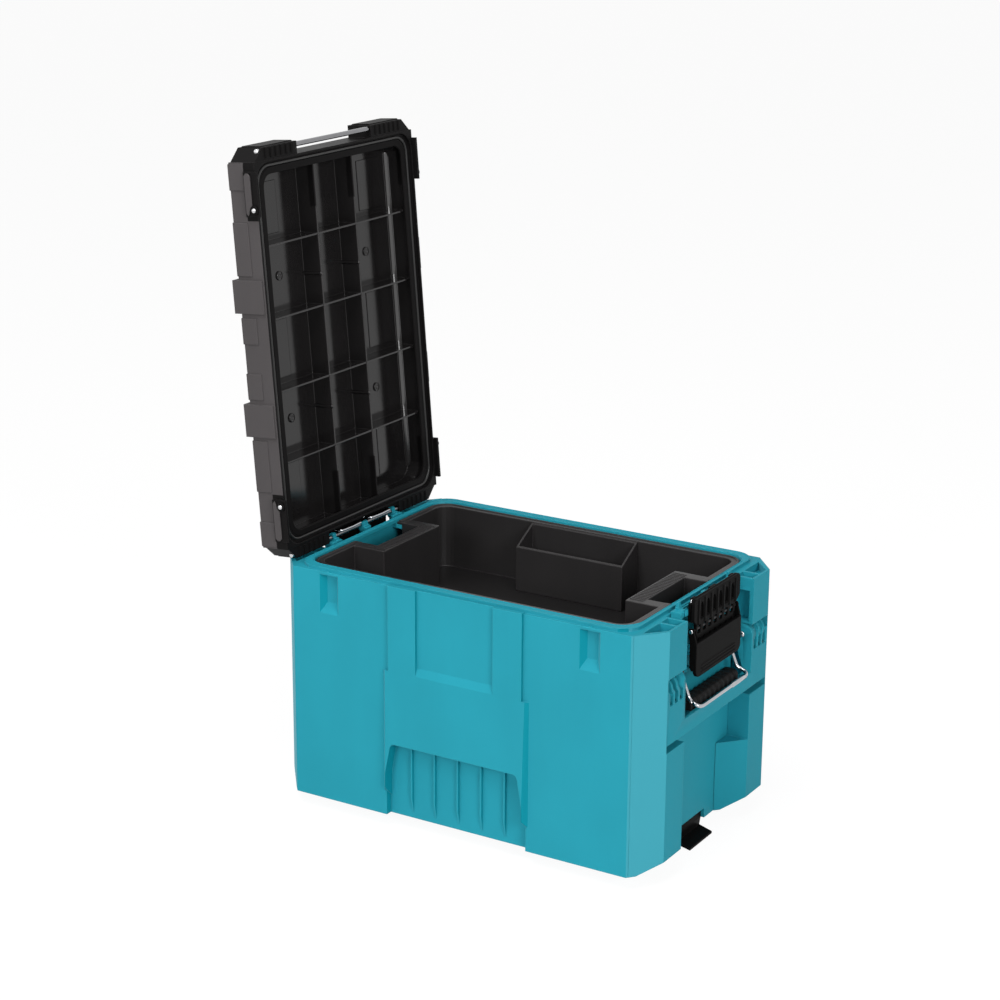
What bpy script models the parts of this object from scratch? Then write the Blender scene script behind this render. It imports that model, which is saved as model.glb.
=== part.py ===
# Tool case with a lift-out tray, a hinged lid, two end latches and two end handles.
# Lengths below are in millimetres and the scene is in metres; X runs along the case, -Y is the front, +Z is up.
import math

import bmesh
import bpy
from mathutils import Matrix, Vector

MM = 0.001

# Case
CASE_LENGTH = 590.0
CASE_WIDTH = 374.0
BASE = 20.0
POST_HEIGHT = 332.0
RIM_RISE = 4.0
RIM_LIP = 4.0
END_DEPTH = 32.0
CORNER_X = 34.0
CORNER_Y = 40.0
RECESS_HALF = 98.0
SLANT_RUN = 36.0
SLANT_HEIGHT = 100.0
END_RIM = 11.0
SIDE_RIM = 17.0
MOUTH_ROUND = 30.0
LEDGE_DEEP = 7.0
LEDGE_THICK = 6.0
LEDGE_WIDE = 9.0
WALL = 3.5
FLOOR_RISE = 6.0
PLINTH_INSET_X = 28.0
PLINTH_INSET_Y = 62.0
PLINTH_ROUND = 20.0
BEVEL_X = 25.0
BEVEL_Z = 14.0
POST_WALL = 4.0
CELL_DEEP = 12.0
CELL_SPLIT = 22.0
CELL_LEAN = 26.0
POST_POCKET = 44.0

# Front and back face
PANEL_PROUD = 4.5
STRIP_PROUD = 9.0
PANEL_HALF = 104.0
PANEL_SPREAD = 8.0
PANEL_BEVEL = 3.0
STRIP_BEVEL = 5.0
PANEL_RISE = 212.0
STRIP_FOOT = 26.0
WINDOW_HALF = 60.0
WINDOW_RISE = 1.0
WINDOW_SILL = 11.0
RECESS_RISE = 108.5
RECESS_BEND = 64.0
RECESS_DEEP = 10.0
RECESS_TOP_HALF = 98.5
RECESS_MAIN_HALF = 107.5
RECESS_FOOT_HALF = 110.0
RECESS_ROUND = 5.0
FINS = 5
FIN_PITCH = 36.7
FIN_WIDE = 2.6
FIN_PROUD = 4.5
FIN_FOOT = 7.0
FIN_TAPER = 22.0
POCKET_AT = 93.0
POCKET_WIDE = 30.0
POCKET_TALL = 55.0
POCKET_DROP = 4.0
POCKET_DEEP = 8.5
POCKET_SLOPE = 7.0
POCKET_SILL = 14.0

# Rods and latches
ROD_OUT = 12.0
ROD_RISE = 4.0
ROD = 3.5
PIVOT_OUT = 18.6
PIVOT_DROP = 63.0
LATCH_PIN = 2.0
LUG_ROUND = 6.0
LUG_WIDE = 6.0
CRADLE_WIDE = 8.0
CRADLE_GAP = 2.5
CLAW_OFF = 7.8
CLAW_THICK = 3.7
CLAW_HALF = 67.5
NECK_IN = 10.5
WAIST_IN = 5.5
SHOULDER_RISE = 16.0
CLAW_RISE = 3.5
CLAW_BARREL = 5.0
CLAW_RIBS = 7
CLAW_RIB_PITCH = 18.0
CLAW_RIB_WIDE = 8.0
CLAW_RIB_PROUD = 3.2
CLAW_RIB_FOOT = 8.0
WINDOW_PITCH = 16.0
WINDOW_WIDE = 8.0
WINDOW_TALL = 11.5
LEVER_OUT = 2.4
LEVER_RISE = 28.0
LEVER_OFF = 4.0
LEVER_THICK = 5.0
LEVER_DROP = 10.0
LEVER_LONG = 55.0
LEVER_CHAMFER = 20.0
LEVER_BARREL = 4.4
CHEEK = 6.5
FLANGE_BACK = 5.5
FLANGE_THICK = 2.8
LINE_FOOT = 4.0
LINE_PITCH = 4.6
LINE_TALL = 2.2
LINE_DEEP = 1.2
LINE_HALF = 46.0
HOOK_OFF = 5.8
HOOK_RISE = 6.5
HOOK_LONG = 13.0
HOOK_WIRE = 1.5
HOOK_IN = 11.0
HOOK_MARGIN = 1.5
HOOK_BARREL = 3.0
BARREL_WIDE = 9.0
PLATE_THICK = 2.5

# Handles and bails
HANDLE_INSET = 15.0
HANDLE_DROP = 26.0
HANDLE_EYE = 14.7
HANDLE_PIN = 3.0
EYE_ROUND = 10.0
EYE_WIDE = 9.0
PIN_SUNK = 14.0
HANDLE_LONG = 74.5
BAR_TALL = 21.5
BAR_THICK = 11.5
HANDLE_WALL = 3.5
STEP_DROP = 10.5
STEP_GAP = 1.3
GRIP_HALF = 70.0
GRIP_RISE = 6.5
GRIP_TALL = 28.0
GRIP_DEEP = 23.0
GRIP_RIBS = 11
GRIP_RIB_DEEP = 1.6
SLOTS = (11.5, 25.5, 38.5)
SLOT_WIDE = 4.6
SLOT_SHIFT = 6.5
SLOT_DEEP = 6.0
SLOT_LOW = 21.0
SLOT_BEND = 4.0
SLOT_HIGH = 12.0
BAIL_OUT = 9.5
BAIL_DROP = 27.0
BAIL_WIRE = 2.2
BAIL_GAP = 3.0
BAIL_END = 20.0
BAIL_LEG_X = 17.0
BAIL_LEG_Z = 38.5
BAIL_TOE_X = 13.5
BAIL_TOE_Y = 7.5
BAIL_TOE_Z = 6.0
BAIL_BEND = 6.0
BAIL_LUG_WIDE = 7.0
BAIL_LUG_ROUND = 5.0

# Lid, drawn shut and then turned open about its rod
LID_OPEN = 94.66
SKIRT_DROP = 2.5
LID_HEIGHT = 39.0
ROOF_THICK = 4.0
LID_WALL_X = 13.0
LID_WALL_Y = 17.0
LID_ROUND = 24.0
RIB_RISE = 6.0
RIB_THICK = 2.4
RIB_LONG = 45.6
RIB_CROSS = 49.5
BLOCK_OVERLAP = 10.0
BLOCK_INSET = 22.0
BLOCK_REACH = 5.0
BLOCK_DROP = 5.2
SIDE_BLOCK_X = 84.5
SIDE_BLOCK_WIDE = 45.0
SIDE_BLOCK_RISE = 9.0
SIDE_BLOCK_PROUD = 3.0
TAB_FROM_END = 12.0
TAB_LONG = 59.0
TAB_PIN_IN = 50.0
TAB_TALL = 16.0
TAB_HANG = 6.0
TAB_THICK = 3.6
TAB_GAP = 0.6
TAB_PIN = 2.5
SEAL_INSET_X = 5.5
SEAL_INSET_Y = 8.5
SEAL_WIDE = 4.0
SEAL_TALL = 4.2
SEAL_ROUND = 26.7

# Tray and pocket
TRAY_GAP = 1.0
TRAY_WALL = 2.5
TRAY_DEEP = 92.0
TRAY_LOW = 3.0
TRAY_ROUND = 22.0
FLANGE_GAP = 2.0
FLANGE_ROUND = 28.0
GRIP_SHELF = 52.0
GRIP_SHELF_HALF = 71.0
HOLE_LONG = 29.0
HOLE_HALF = 53.0
SIDE_POCKET_HALF = 86.0
SIDE_POCKET_DEEP = 47.5
SIDE_POCKET_LOW = 26.0

# Stacking hooks under the ends
TONGUE_HALF = 33.0
TONGUE_NOTCH = 14.5
TONGUE_INSET = 7.7
TONGUE_THICK = 3.5
TONGUE_REACH = 13.5

FIT = 0.3
SEAM = 0.1
SIDES = (-1, 1)
ENDS = {"left": -1, "right": 1}
FACES = {"front": -1, "back": 1}

# Places that follow from the sizes
HALF_LENGTH = CASE_LENGTH / 2
HALF_WIDTH = CASE_WIDTH / 2
POST_TOP = BASE + POST_HEIGHT
RIM_TOP = POST_TOP + RIM_RISE
END_FLOOR = HALF_LENGTH - END_DEPTH
MOUTH_X = END_FLOOR - END_RIM
MOUTH_Y = HALF_WIDTH - SIDE_RIM
LEDGE = RIM_TOP - LEDGE_DEEP
LEDGE_X = MOUTH_X - LEDGE_WIDE
LEDGE_Y = MOUTH_Y - LEDGE_WIDE
FLOOR = BASE + FLOOR_RISE
PLINTH_X = END_FLOOR - PLINTH_INSET_X
PLINTH_Y = HALF_WIDTH - PLINTH_INSET_Y
FACE = HALF_WIDTH + PANEL_PROUD
STRIP_FACE = HALF_WIDTH + STRIP_PROUD
RECESS_FLOOR = HALF_WIDTH - RECESS_DEEP
PANEL_LOWER = PANEL_HALF + PANEL_SPREAD
PANEL_STEP = BASE + PANEL_RISE
ROD_X = END_FLOOR + ROD_OUT
ROD_Z = RIM_TOP + ROD_RISE
PIVOT_X = END_FLOOR + PIVOT_OUT
PIVOT_Z = ROD_Z - PIVOT_DROP
LEVER_X = PIVOT_X + LEVER_OUT
LEVER_Z = PIVOT_Z + LEVER_RISE
CLAW_BACK = ROD_X + CLAW_OFF
CLAW_FACE = CLAW_BACK + CLAW_THICK
CLAW_NECK = CLAW_HALF - NECK_IN
CLAW_WAIST = CLAW_NECK - WAIST_IN
CLAW_SHOULDER = LEVER_Z + SHOULDER_RISE
HOOK_X = ROD_X + HOOK_OFF
HOOK_Z = ROD_Z + HOOK_RISE
HOOK_OUT = CLAW_HALF - HOOK_MARGIN
CLAW_TOP = HOOK_Z + CLAW_RISE
LEVER_BACK = LEVER_X + LEVER_OFF
LEVER_FACE = LEVER_BACK + LEVER_THICK
LEVER_TOP = LEVER_Z - LEVER_DROP
LEVER_FOOT = LEVER_TOP - LEVER_LONG
HANDLE_X = HALF_LENGTH - HANDLE_INSET
HANDLE_Z = PIVOT_Z - HANDLE_DROP
HANDLE_HALF = HALF_WIDTH - CORNER_Y - 2 * FIT
HANDLE_FOOT = HANDLE_Z - HANDLE_LONG
BAR_TOP = HANDLE_FOOT + BAR_TALL
GRIP_FRONT = HALF_LENGTH - BAR_THICK / 2
GRIP_BACK = GRIP_FRONT - GRIP_DEEP
GRIP_LOW = HANDLE_FOOT + GRIP_RISE
STEP_LOW = HANDLE_FOOT - STEP_DROP
STEP_HIGH = HANDLE_Z + HANDLE_EYE + STEP_GAP
BAIL_X = END_FLOOR + BAIL_OUT
BAIL_Z = PIVOT_Z - BAIL_DROP
BAIL_HALF = CLAW_HALF + BAIL_GAP
SKIRT = RIM_TOP - SKIRT_DROP
ROOF = RIM_TOP + LID_HEIGHT
LID_IN_X = END_FLOOR - LID_WALL_X
LID_IN_Y = HALF_WIDTH - LID_WALL_Y
BLOCK_IN = RECESS_HALF - BLOCK_OVERLAP
BLOCK_OUT = HALF_WIDTH - BLOCK_INSET
BLOCK_X = ROD_X + BLOCK_REACH
BLOCK_FOOT = ROD_Z - BLOCK_DROP
TAB_OUT = END_FLOOR - TAB_FROM_END
TAB_PIN_X = TAB_OUT - TAB_PIN_IN
SEAL_X = END_FLOOR - SEAL_INSET_X
SEAL_Y = HALF_WIDTH - SEAL_INSET_Y
TRAY_X = LEDGE_X - TRAY_GAP
TRAY_Y = LEDGE_Y - TRAY_GAP
TRAY_RIM = RIM_TOP - TRAY_LOW
TRAY_FLOOR = TRAY_RIM - TRAY_DEEP
FLANGE_X = MOUTH_X - FLANGE_GAP
FLANGE_Y = MOUTH_Y - FLANGE_GAP
SHELF_IN = TRAY_X - GRIP_SHELF
HOLE_IN = TRAY_X - HOLE_LONG
SIDE_POCKET_Y = TRAY_Y - SIDE_POCKET_DEEP


def collection(name):
    made = bpy.data.collections.new(name)
    bpy.context.scene.collection.children.link(made)
    return made


for old in list(bpy.data.objects):
    bpy.data.objects.remove(old, do_unlink=True)
PARTS = collection("tool_case")
CUTTERS = collection("cutters")
COLOURS = {
    "teal": (0.03, 0.35, 0.45, 1.0),
    "black": (0.015, 0.015, 0.016, 1.0),
    "steel": (0.6, 0.6, 0.62, 1.0),
    "rubber": (0.03, 0.03, 0.03, 1.0),
}



# Outlines and bodies
def stack(rings):
    """A closed body through rings that all have the same number of points."""
    count = len(rings[0])
    points = [tuple(p) for ring in rings for p in ring]
    faces = [tuple(range(count)), tuple(range(len(points) - count, len(points)))]
    for k in range(len(rings) - 1):
        for i in range(count):
            j = (i + 1) % count
            faces.append((k * count + i, k * count + j, (k + 1) * count + j, (k + 1) * count + i))
    return points, faces


def prism(outline, axis, low, high, side=1):
    """A closed body: a flat outline carried along an axis from low to high, with X times side."""
    place = {
        "x": lambda u, v, w: (side * w, u, v),
        "y": lambda u, v, w: (side * u, w, v),
        "z": lambda u, v, w: (side * u, v, w),
    }[axis]
    return stack([[place(u, v, w) for u, v in outline] for w in (low, high)])


def box(x, y, z, side=1):
    return prism([(x[0], y[0]), (x[1], y[0]), (x[1], y[1]), (x[0], y[1])], "z", z[0], z[1], side)


def circle(u, v, radius, count=24):
    turns = [2 * math.pi * i / count for i in range(count)]
    return [(u + radius * math.cos(t), v + radius * math.sin(t)) for t in turns]


def rod(x, z, radius, y, side=1, count=24):
    return prism(circle(x, z, radius, count), "y", y[0], y[1], side)


def rounded(half_x, half_y, radius, steps=5):
    outline = []
    for sx, sy, start in ((1, 1, 0), (-1, 1, 90), (-1, -1, 180), (1, -1, 270)):
        for i in range(steps + 1):
            t = math.radians(start + 90 * i / steps)
            outline.append(
                (sx * (half_x - radius) + radius * math.cos(t), sy * (half_y - radius) + radius * math.sin(t))
            )
    return outline


def hull(points):
    ordered = sorted(set(points))

    def half(run):
        chain = []
        for p in run:
            while len(chain) > 1:
                (ax, ay), (bx, by) = chain[-2], chain[-1]
                if (bx - ax) * (p[1] - ay) - (by - ay) * (p[0] - ax) > 1e-9:
                    break
                chain.pop()
            chain.append(p)
        return chain[:-1]

    return half(ordered) + half(ordered[::-1])


def bent(points, radius, steps=3):
    """The same path with each corner rounded."""
    path = [Vector(points[0])]
    for before, corner, after in zip(points, points[1:], points[2:]):
        corner = Vector(corner)
        into = (Vector(before) - corner).normalized()
        out = (Vector(after) - corner).normalized()
        reach = radius / math.tan(into.angle(out) / 2)
        start = corner + into * reach
        end = corner + out * reach
        for i in range(steps + 1):
            t = i / steps
            path.append(start * (1 - t) ** 2 + corner * 2 * t * (1 - t) + end * t * t)
    path.append(Vector(points[-1]))
    return path


def wire(path, radius, sides=10):
    """A round wire along a path, mitred at each point."""
    path = [Vector(p) for p in path]
    runs = [(b - a).normalized() for a, b in zip(path, path[1:])]
    across = runs[0].orthogonal().normalized()
    over = runs[0].cross(across)
    turns = [2 * math.pi * i / sides for i in range(sides)]
    ring = [across * radius * math.cos(t) + over * radius * math.sin(t) for t in turns]
    rings = [[path[0] + p for p in ring]]
    for i, run in enumerate(runs):
        corner = path[i + 1]
        after = runs[i + 1] if i + 1 < len(runs) else run
        plane = (run + after).normalized()
        reached = [p - run * (p.dot(plane) / run.dot(plane)) for p in ring]
        rings.append([corner + p for p in reached])
        ring = [p - after * p.dot(after) for p in reached]
    return stack(rings)


# Objects
def mesh_object(name, bodies, group):
    work = bmesh.new()
    for points, faces in bodies:
        made = [work.verts.new([c * MM for c in p]) for p in points]
        for face in faces:
            work.faces.new([made[i] for i in face])
    bmesh.ops.recalc_face_normals(work, faces=work.faces)
    mesh = bpy.data.meshes.new(name)
    work.to_mesh(mesh)
    work.free()
    made = bpy.data.objects.new(name, mesh)
    group.objects.link(made)
    return made


def axis(name, x, z, turn=0.0):
    """An empty on a joint's axis, along Y."""
    made = bpy.data.objects.new(name, None)
    made.empty_display_size = 0.02
    made.location = (x * MM, 0.0, z * MM)
    made.rotation_euler = (0.0, math.radians(turn), 0.0)
    PARTS.objects.link(made)
    return made


def ride(made, carrier):
    if carrier is not None:
        made.parent = carrier
        made.matrix_parent_inverse = Matrix.Translation(-carrier.location)


def part(name, bodies, colour, carrier=None):
    made = mesh_object(name, bodies, PARTS)
    look = bpy.data.materials.new(name)
    look.use_nodes = True
    shader = look.node_tree.nodes["Principled BSDF"]
    shader.inputs["Base Color"].default_value = COLOURS[colour]
    shader.inputs["Metallic"].default_value = 1.0 if colour == "steel" else 0.0
    shader.inputs["Roughness"].default_value = 0.25 if colour == "steel" else 0.5
    made.data.materials.append(look)
    ride(made, carrier)
    return made


def combine(made, operation, name, bodies):
    tool = mesh_object(made.name + "_" + name, bodies, CUTTERS)
    tool.hide_render = True
    tool.display_type = "WIRE"
    ride(tool, made.parent)
    step = made.modifiers.new(name, "BOOLEAN")
    step.operation = operation
    step.solver = "EXACT"
    step.object = tool


def join(made, name, bodies):
    combine(made, "UNION", name, bodies)


def cut(made, name, bodies):
    combine(made, "DIFFERENCE", name, bodies)


def both(low, high):
    """The two mirrored spans of Y from low to high."""
    return [(-high, -low), (low, high)]


def mirrored(outline):
    """An outline and the same one with its second coordinate turned over."""
    return [outline, [(u, -v) for u, v in outline]]


def turned(outline):
    """An outline and the same one with its first coordinate turned over."""
    return [outline, [(-u, v) for u, v in outline]]


# Case body
CHAMFER_IN = HALF_LENGTH - CORNER_X
CHAMFER_STEEP = CORNER_Y / CORNER_X
TUB_CUT = max(END_FLOOR - CHAMFER_IN, 0.2)
TUB_CORNERS = [(END_FLOOR, HALF_WIDTH - TUB_CUT * CHAMFER_STEEP), (END_FLOOR - TUB_CUT, HALF_WIDTH)]
TUB = hull([(sx * x, sy * y) for x, y in TUB_CORNERS for sx in SIDES for sy in SIDES])
case = part("case_body", [prism(TUB, "z", BASE, POST_TOP)], "teal")
join(
    case,
    "rim",
    [prism(rounded(END_FLOOR - RIM_LIP, HALF_WIDTH - RIM_LIP, MOUTH_ROUND), "z", LEDGE - LEDGE_THICK, RIM_TOP)],
)
join(
    case,
    "upper_panels",
    [box((-PANEL_HALF, PANEL_HALF), span, (PANEL_STEP - 8, SKIRT - FIT)) for span in both(HALF_WIDTH - 3, FACE)],
)


def panel_ring(z, face, bevel, turn):
    half = [(PANEL_LOWER + 3, HALF_WIDTH - 2), (PANEL_LOWER + 1.5, HALF_WIDTH), (PANEL_LOWER - bevel, face)]
    outline = half + [(-x, y) for x, y in half[::-1]]
    return [(x, turn * y, z) for x, y in outline]


LOW_EDGE = BASE + STRIP_FOOT - 2
join(
    case,
    "lower_panels",
    [
        stack([panel_ring(LOW_EDGE, STRIP_FACE, STRIP_BEVEL, t), panel_ring(PANEL_STEP, FACE, PANEL_BEVEL, t)])
        for t in SIDES
    ],
)
join(case, "plinth", [prism(rounded(PLINTH_X, PLINTH_Y, PLINTH_ROUND), "z", 0, BASE + WALL)])
cut(
    case,
    "cavity",
    [prism(rounded(END_FLOOR - WALL, HALF_WIDTH - WALL, MOUTH_ROUND - 12), "z", FLOOR, LEDGE - LEDGE_THICK)],
)
cut(case, "ledge", [prism(rounded(LEDGE_X, LEDGE_Y, MOUTH_ROUND - 6), "z", LEDGE - LEDGE_THICK - 4, LEDGE + 3)])
cut(case, "mouth", [prism(rounded(MOUTH_X, MOUTH_Y, MOUTH_ROUND), "z", LEDGE, RIM_TOP + 5)])
FINGER_ROOM = (LEDGE_X - 6, END_FLOOR - WALL - 0.5)
cut(
    case,
    "finger_room",
    [box(FINGER_ROOM, (-HOLE_HALF, HOLE_HALF), (LEDGE - LEDGE_THICK - 3, LEDGE + 2), s) for s in SIDES],
)
cut(
    case,
    "pan",
    [prism(rounded(PLINTH_X - WALL, PLINTH_Y - WALL, PLINTH_ROUND - WALL), "z", WALL, FLOOR + WALL)],
)
POCKET_X = HALF_LENGTH - POCKET_AT
POCKET_HIGH = POST_TOP - POCKET_DROP
POCKET_LOW = POCKET_HIGH - POCKET_TALL
POCKET_SPAN = (POCKET_X - POCKET_WIDE / 2 - 5, POCKET_X + POCKET_WIDE / 2 + 5)
RECESS_TOP = BASE + RECESS_RISE
NOTCH_TOP = BASE + TONGUE_NOTCH
join(
    case,
    "backing",
    [
        box(POCKET_SPAN, span, (POCKET_LOW - 6, LEDGE - 4), s)
        for s in SIDES
        for span in both(HALF_WIDTH - POCKET_DEEP - WALL, HALF_WIDTH - 2)
    ]
    + [
        box((-RECESS_FOOT_HALF - 4, RECESS_FOOT_HALF + 4), span, (FLOOR - 3, RECESS_TOP + 6))
        for span in both(RECESS_FLOOR - WALL, HALF_WIDTH - 2)
    ]
    + [
        box(
            (END_FLOOR - TONGUE_INSET - 4, END_FLOOR - 2),
            (-TONGUE_HALF - 6, TONGUE_HALF + 6),
            (FLOOR - 3, NOTCH_TOP + 4),
            s,
        )
        for s in SIDES
    ],
)


def pocket_ring(share, s, turn):
    half = POCKET_WIDE / 2 - POCKET_SLOPE * share
    low = POCKET_LOW + POCKET_SILL * share
    y = turn * (HALF_WIDTH - POCKET_DEEP * share)
    corners = [(-half, low), (half, low), (half, POCKET_HIGH), (-half, POCKET_HIGH)]
    return [(s * (POCKET_X + x), y, z) for x, z in corners]


cut(
    case,
    "face_pockets",
    [stack([pocket_ring(-0.2, s, t), pocket_ring(1.0, s, t)]) for s in SIDES for t in SIDES],
)
WINDOW_FOOT = PANEL_STEP + WINDOW_RISE
SILL_STEEP = WINDOW_SILL / PANEL_PROUD
WINDOW = [
    (HALF_WIDTH, WINDOW_FOOT + WINDOW_SILL),
    (HALF_WIDTH, RIM_TOP + 5),
    (FACE + 5, RIM_TOP + 5),
    (FACE + 5, WINDOW_FOOT - 5 * SILL_STEEP),
]
cut(case, "windows", [prism(outline, "x", -WINDOW_HALF, WINDOW_HALF) for outline in turned(WINDOW)])
RECESS_SIDE = [
    (RECESS_MAIN_HALF, BASE + STRIP_FOOT - 6),
    (RECESS_MAIN_HALF, BASE + RECESS_BEND),
    (RECESS_TOP_HALF + 0.3 * RECESS_ROUND, RECESS_TOP - RECESS_ROUND),
    (RECESS_TOP_HALF - 0.2 * RECESS_ROUND, RECESS_TOP - 0.3 * RECESS_ROUND),
    (RECESS_TOP_HALF - RECESS_ROUND, RECESS_TOP),
]
RECESS = RECESS_SIDE + [(-x, z) for x, z in RECESS_SIDE[::-1]]
cut(
    case,
    "lower_recess",
    [prism(RECESS, "y", span[0], span[1]) for span in both(RECESS_FLOOR, STRIP_FACE + 5)],
)
SLOPE_REACH = STRIP_FACE + 5
UNDERCUT = [
    (RECESS_FLOOR, BASE - 2),
    (RECESS_FLOOR, BASE + STRIP_FOOT),
    (SLOPE_REACH, BASE + STRIP_FOOT + SLOPE_REACH - RECESS_FLOOR),
    (SLOPE_REACH, BASE - 2),
]
STRIP_END = [
    (HALF_WIDTH, BASE - 2),
    (HALF_WIDTH, BASE + STRIP_FOOT + RECESS_DEEP - 0.8),
    (SLOPE_REACH, BASE + STRIP_FOOT + SLOPE_REACH - RECESS_FLOOR - 0.8),
    (SLOPE_REACH, BASE - 2),
]
cut(
    case,
    "strip_feet",
    [prism(outline, "x", -RECESS_FOOT_HALF, RECESS_FOOT_HALF) for outline in turned(UNDERCUT)],
)
cut(
    case,
    "strip_ends",
    [
        prism(outline, "x", RECESS_FOOT_HALF - 1, PANEL_LOWER + 6, s)
        for s in SIDES
        for outline in turned(STRIP_END)
    ],
)
FIN = [
    (RECESS_FLOOR - 1, RECESS_TOP + 1.5),
    (RECESS_FLOOR + FIN_PROUD, RECESS_TOP + 1.5),
    (RECESS_FLOOR + FIN_PROUD, BASE + FIN_FOOT + FIN_TAPER),
    (RECESS_FLOOR, BASE + FIN_FOOT),
    (RECESS_FLOOR - 1, BASE + FIN_FOOT),
]
FIN_AT = [FIN_PITCH * (i - (FINS - 1) / 2) for i in range(FINS)]
join(
    case,
    "fins",
    [prism(outline, "x", x - FIN_WIDE / 2, x + FIN_WIDE / 2) for x in FIN_AT for outline in turned(FIN)],
)
cut(
    case,
    "tongue_notches",
    [
        box(
            (END_FLOOR - TONGUE_INSET - FIT, END_FLOOR + 3),
            (-TONGUE_HALF - 2, TONGUE_HALF + 2),
            (BASE - 2, NOTCH_TOP),
            s,
        )
        for s in SIDES
    ],
)

# Corner posts that the handles turn in
POST_IN = END_FLOOR + SEAM
POST_SIDE = [(POST_IN, HALF_WIDTH - (POST_IN - CHAMFER_IN) * CHAMFER_STEEP)]
if CHAMFER_IN > POST_IN:
    POST_SIDE = [(CHAMFER_IN, HALF_WIDTH), (POST_IN, HALF_WIDTH)]
POST_END = [(POST_IN, RECESS_HALF), (HALF_LENGTH, RECESS_HALF), (HALF_LENGTH, HALF_WIDTH - CORNER_Y)]
POST = hull(POST_END + POST_SIDE)
SLANT = [
    (POST_IN + 0.4, RECESS_HALF - SLANT_RUN),
    (HALF_LENGTH, RECESS_HALF + 0.5),
    (HALF_LENGTH - 4, RECESS_HALF + 6),
    (POST_IN + 0.4, RECESS_HALF + 6),
]
CELL_X = (END_FLOOR + POST_WALL + 1, HALF_LENGTH - POST_WALL)
CELL_LOW = RECESS_HALF + POST_WALL
CELL_MIDDLE = RECESS_HALF + CELL_SPLIT
CELL_HIGH = HALF_WIDTH - CORNER_Y - POST_WALL
CELL_A = [(CELL_X[0], CELL_LOW), (CELL_X[1], CELL_LOW), (CELL_X[1], CELL_MIDDLE), (CELL_X[0], CELL_MIDDLE)]
CELL_B = [
    (CELL_X[0], CELL_MIDDLE + POST_WALL),
    (CELL_X[1], CELL_MIDDLE + POST_WALL),
    (CELL_X[1], CELL_HIGH),
    (CELL_X[0], CELL_HIGH + CELL_LEAN),
]
HOLLOW = CELL_A[:2] + CELL_B[2:]
POST_POCKET_LOW = STEP_HIGH + 3
BEVEL = [
    (HALF_LENGTH - 1.1 * BEVEL_X, BASE - 0.1 * BEVEL_Z),
    (HALF_LENGTH + 0.2 * BEVEL_X, BASE - 0.1 * BEVEL_Z),
    (HALF_LENGTH + 0.2 * BEVEL_X, BASE + 1.2 * BEVEL_Z),
]
PIN_END = HANDLE_HALF + PIN_SUNK


def facing(outline, turn):
    return [(u, turn * v) for u, v in outline]


def side_span(low, high, turn):
    """The span of Y from low to high on one side."""
    return tuple(sorted((turn * low, turn * high)))


for end, s in ENDS.items():
    for face, t in FACES.items():
        name = "corner_post_" + end + "_" + face
        post = part(name, [prism(facing(POST, t), "z", BASE, POST_TOP, s)], "teal")
        join(post, "slant", [prism(facing(SLANT, t), "z", BASE, BASE + SLANT_HEIGHT, s)])
        step = side_span(RECESS_HALF - 1, HANDLE_HALF + 0.8, t)
        cut(post, "step", [box((END_FLOOR - 2, HALF_LENGTH + 3), step, (STEP_LOW, STEP_HIGH), s)])
        cells = [facing(cell, t) for cell in (CELL_A, CELL_B)]
        cut(post, "cells", [prism(cell, "z", POST_TOP - CELL_DEEP, POST_TOP + 3, s) for cell in cells])
        cut(post, "hollow", [prism(facing(HOLLOW, t), "z", BASE - 2, STEP_LOW - POST_WALL, s)])
        wide = side_span(RECESS_HALF - 1, CELL_HIGH, t)
        tall = (POST_POCKET_LOW, POST_POCKET_LOW + POST_POCKET)
        cut(post, "pocket", [box((CELL_X[0] - 2, CELL_X[1] - 2), wide, tall, s)])
        cut(post, "foot_bevel", [prism(BEVEL, "y", -STRIP_FACE, STRIP_FACE, s)])
        sunk = side_span(HANDLE_HALF - 1, PIN_END + FIT, t)
        cut(post, "bore", [rod(HANDLE_X, HANDLE_Z, HANDLE_PIN + 0.2, sunk, s, 16)])

# Brackets on the ends that carry the rods, the latches and the bails
CRADLE_LOW = CLAW_HALF + CRADLE_GAP
CRADLES = both(CRADLE_LOW, CRADLE_LOW + CRADLE_WIDE) + [(-0.6 * CRADLE_WIDE, 0.6 * CRADLE_WIDE)]
CRADLE = [
    (POST_IN + 1, ROD_Z - 22),
    (ROD_X - 4, ROD_Z - 14),
    (ROD_X + 4, ROD_Z - 8),
    (ROD_X + 4, ROD_Z - 0.5),
    (END_FLOOR + 3, ROD_Z - 0.5),
    (END_FLOOR + 3, RIM_TOP - RIM_LIP - 2),
    (POST_IN + 1, RIM_TOP - RIM_LIP - 2),
]
LUG_LOW = CLAW_WAIST + 2.5
LUG_SPANS = both(LUG_LOW, LUG_LOW + LUG_WIDE)
LUG = hull(circle(PIVOT_X, PIVOT_Z, LUG_ROUND, 20) + [(POST_IN + 1, PIVOT_Z - 10), (POST_IN + 1, PIVOT_Z + 6)])
BAIL_LUG_LOW = BAIL_HALF - BAIL_END + 3.5
BAIL_LUG_SPANS = both(BAIL_LUG_LOW, BAIL_LUG_LOW + BAIL_LUG_WIDE)
BAIL_LUG = hull(
    circle(BAIL_X, BAIL_Z, BAIL_LUG_ROUND, 20) + [(POST_IN + 1, BAIL_Z - 9), (POST_IN + 1, BAIL_Z + 5)]
)
PLATE_HALF = CRADLE_LOW + CRADLE_WIDE + 1
PLATE_Z = (BAIL_Z - 10.5, RIM_TOP - RIM_LIP - 1)


def longer(span):
    return (span[0] - 1, span[1] + 1)


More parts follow.
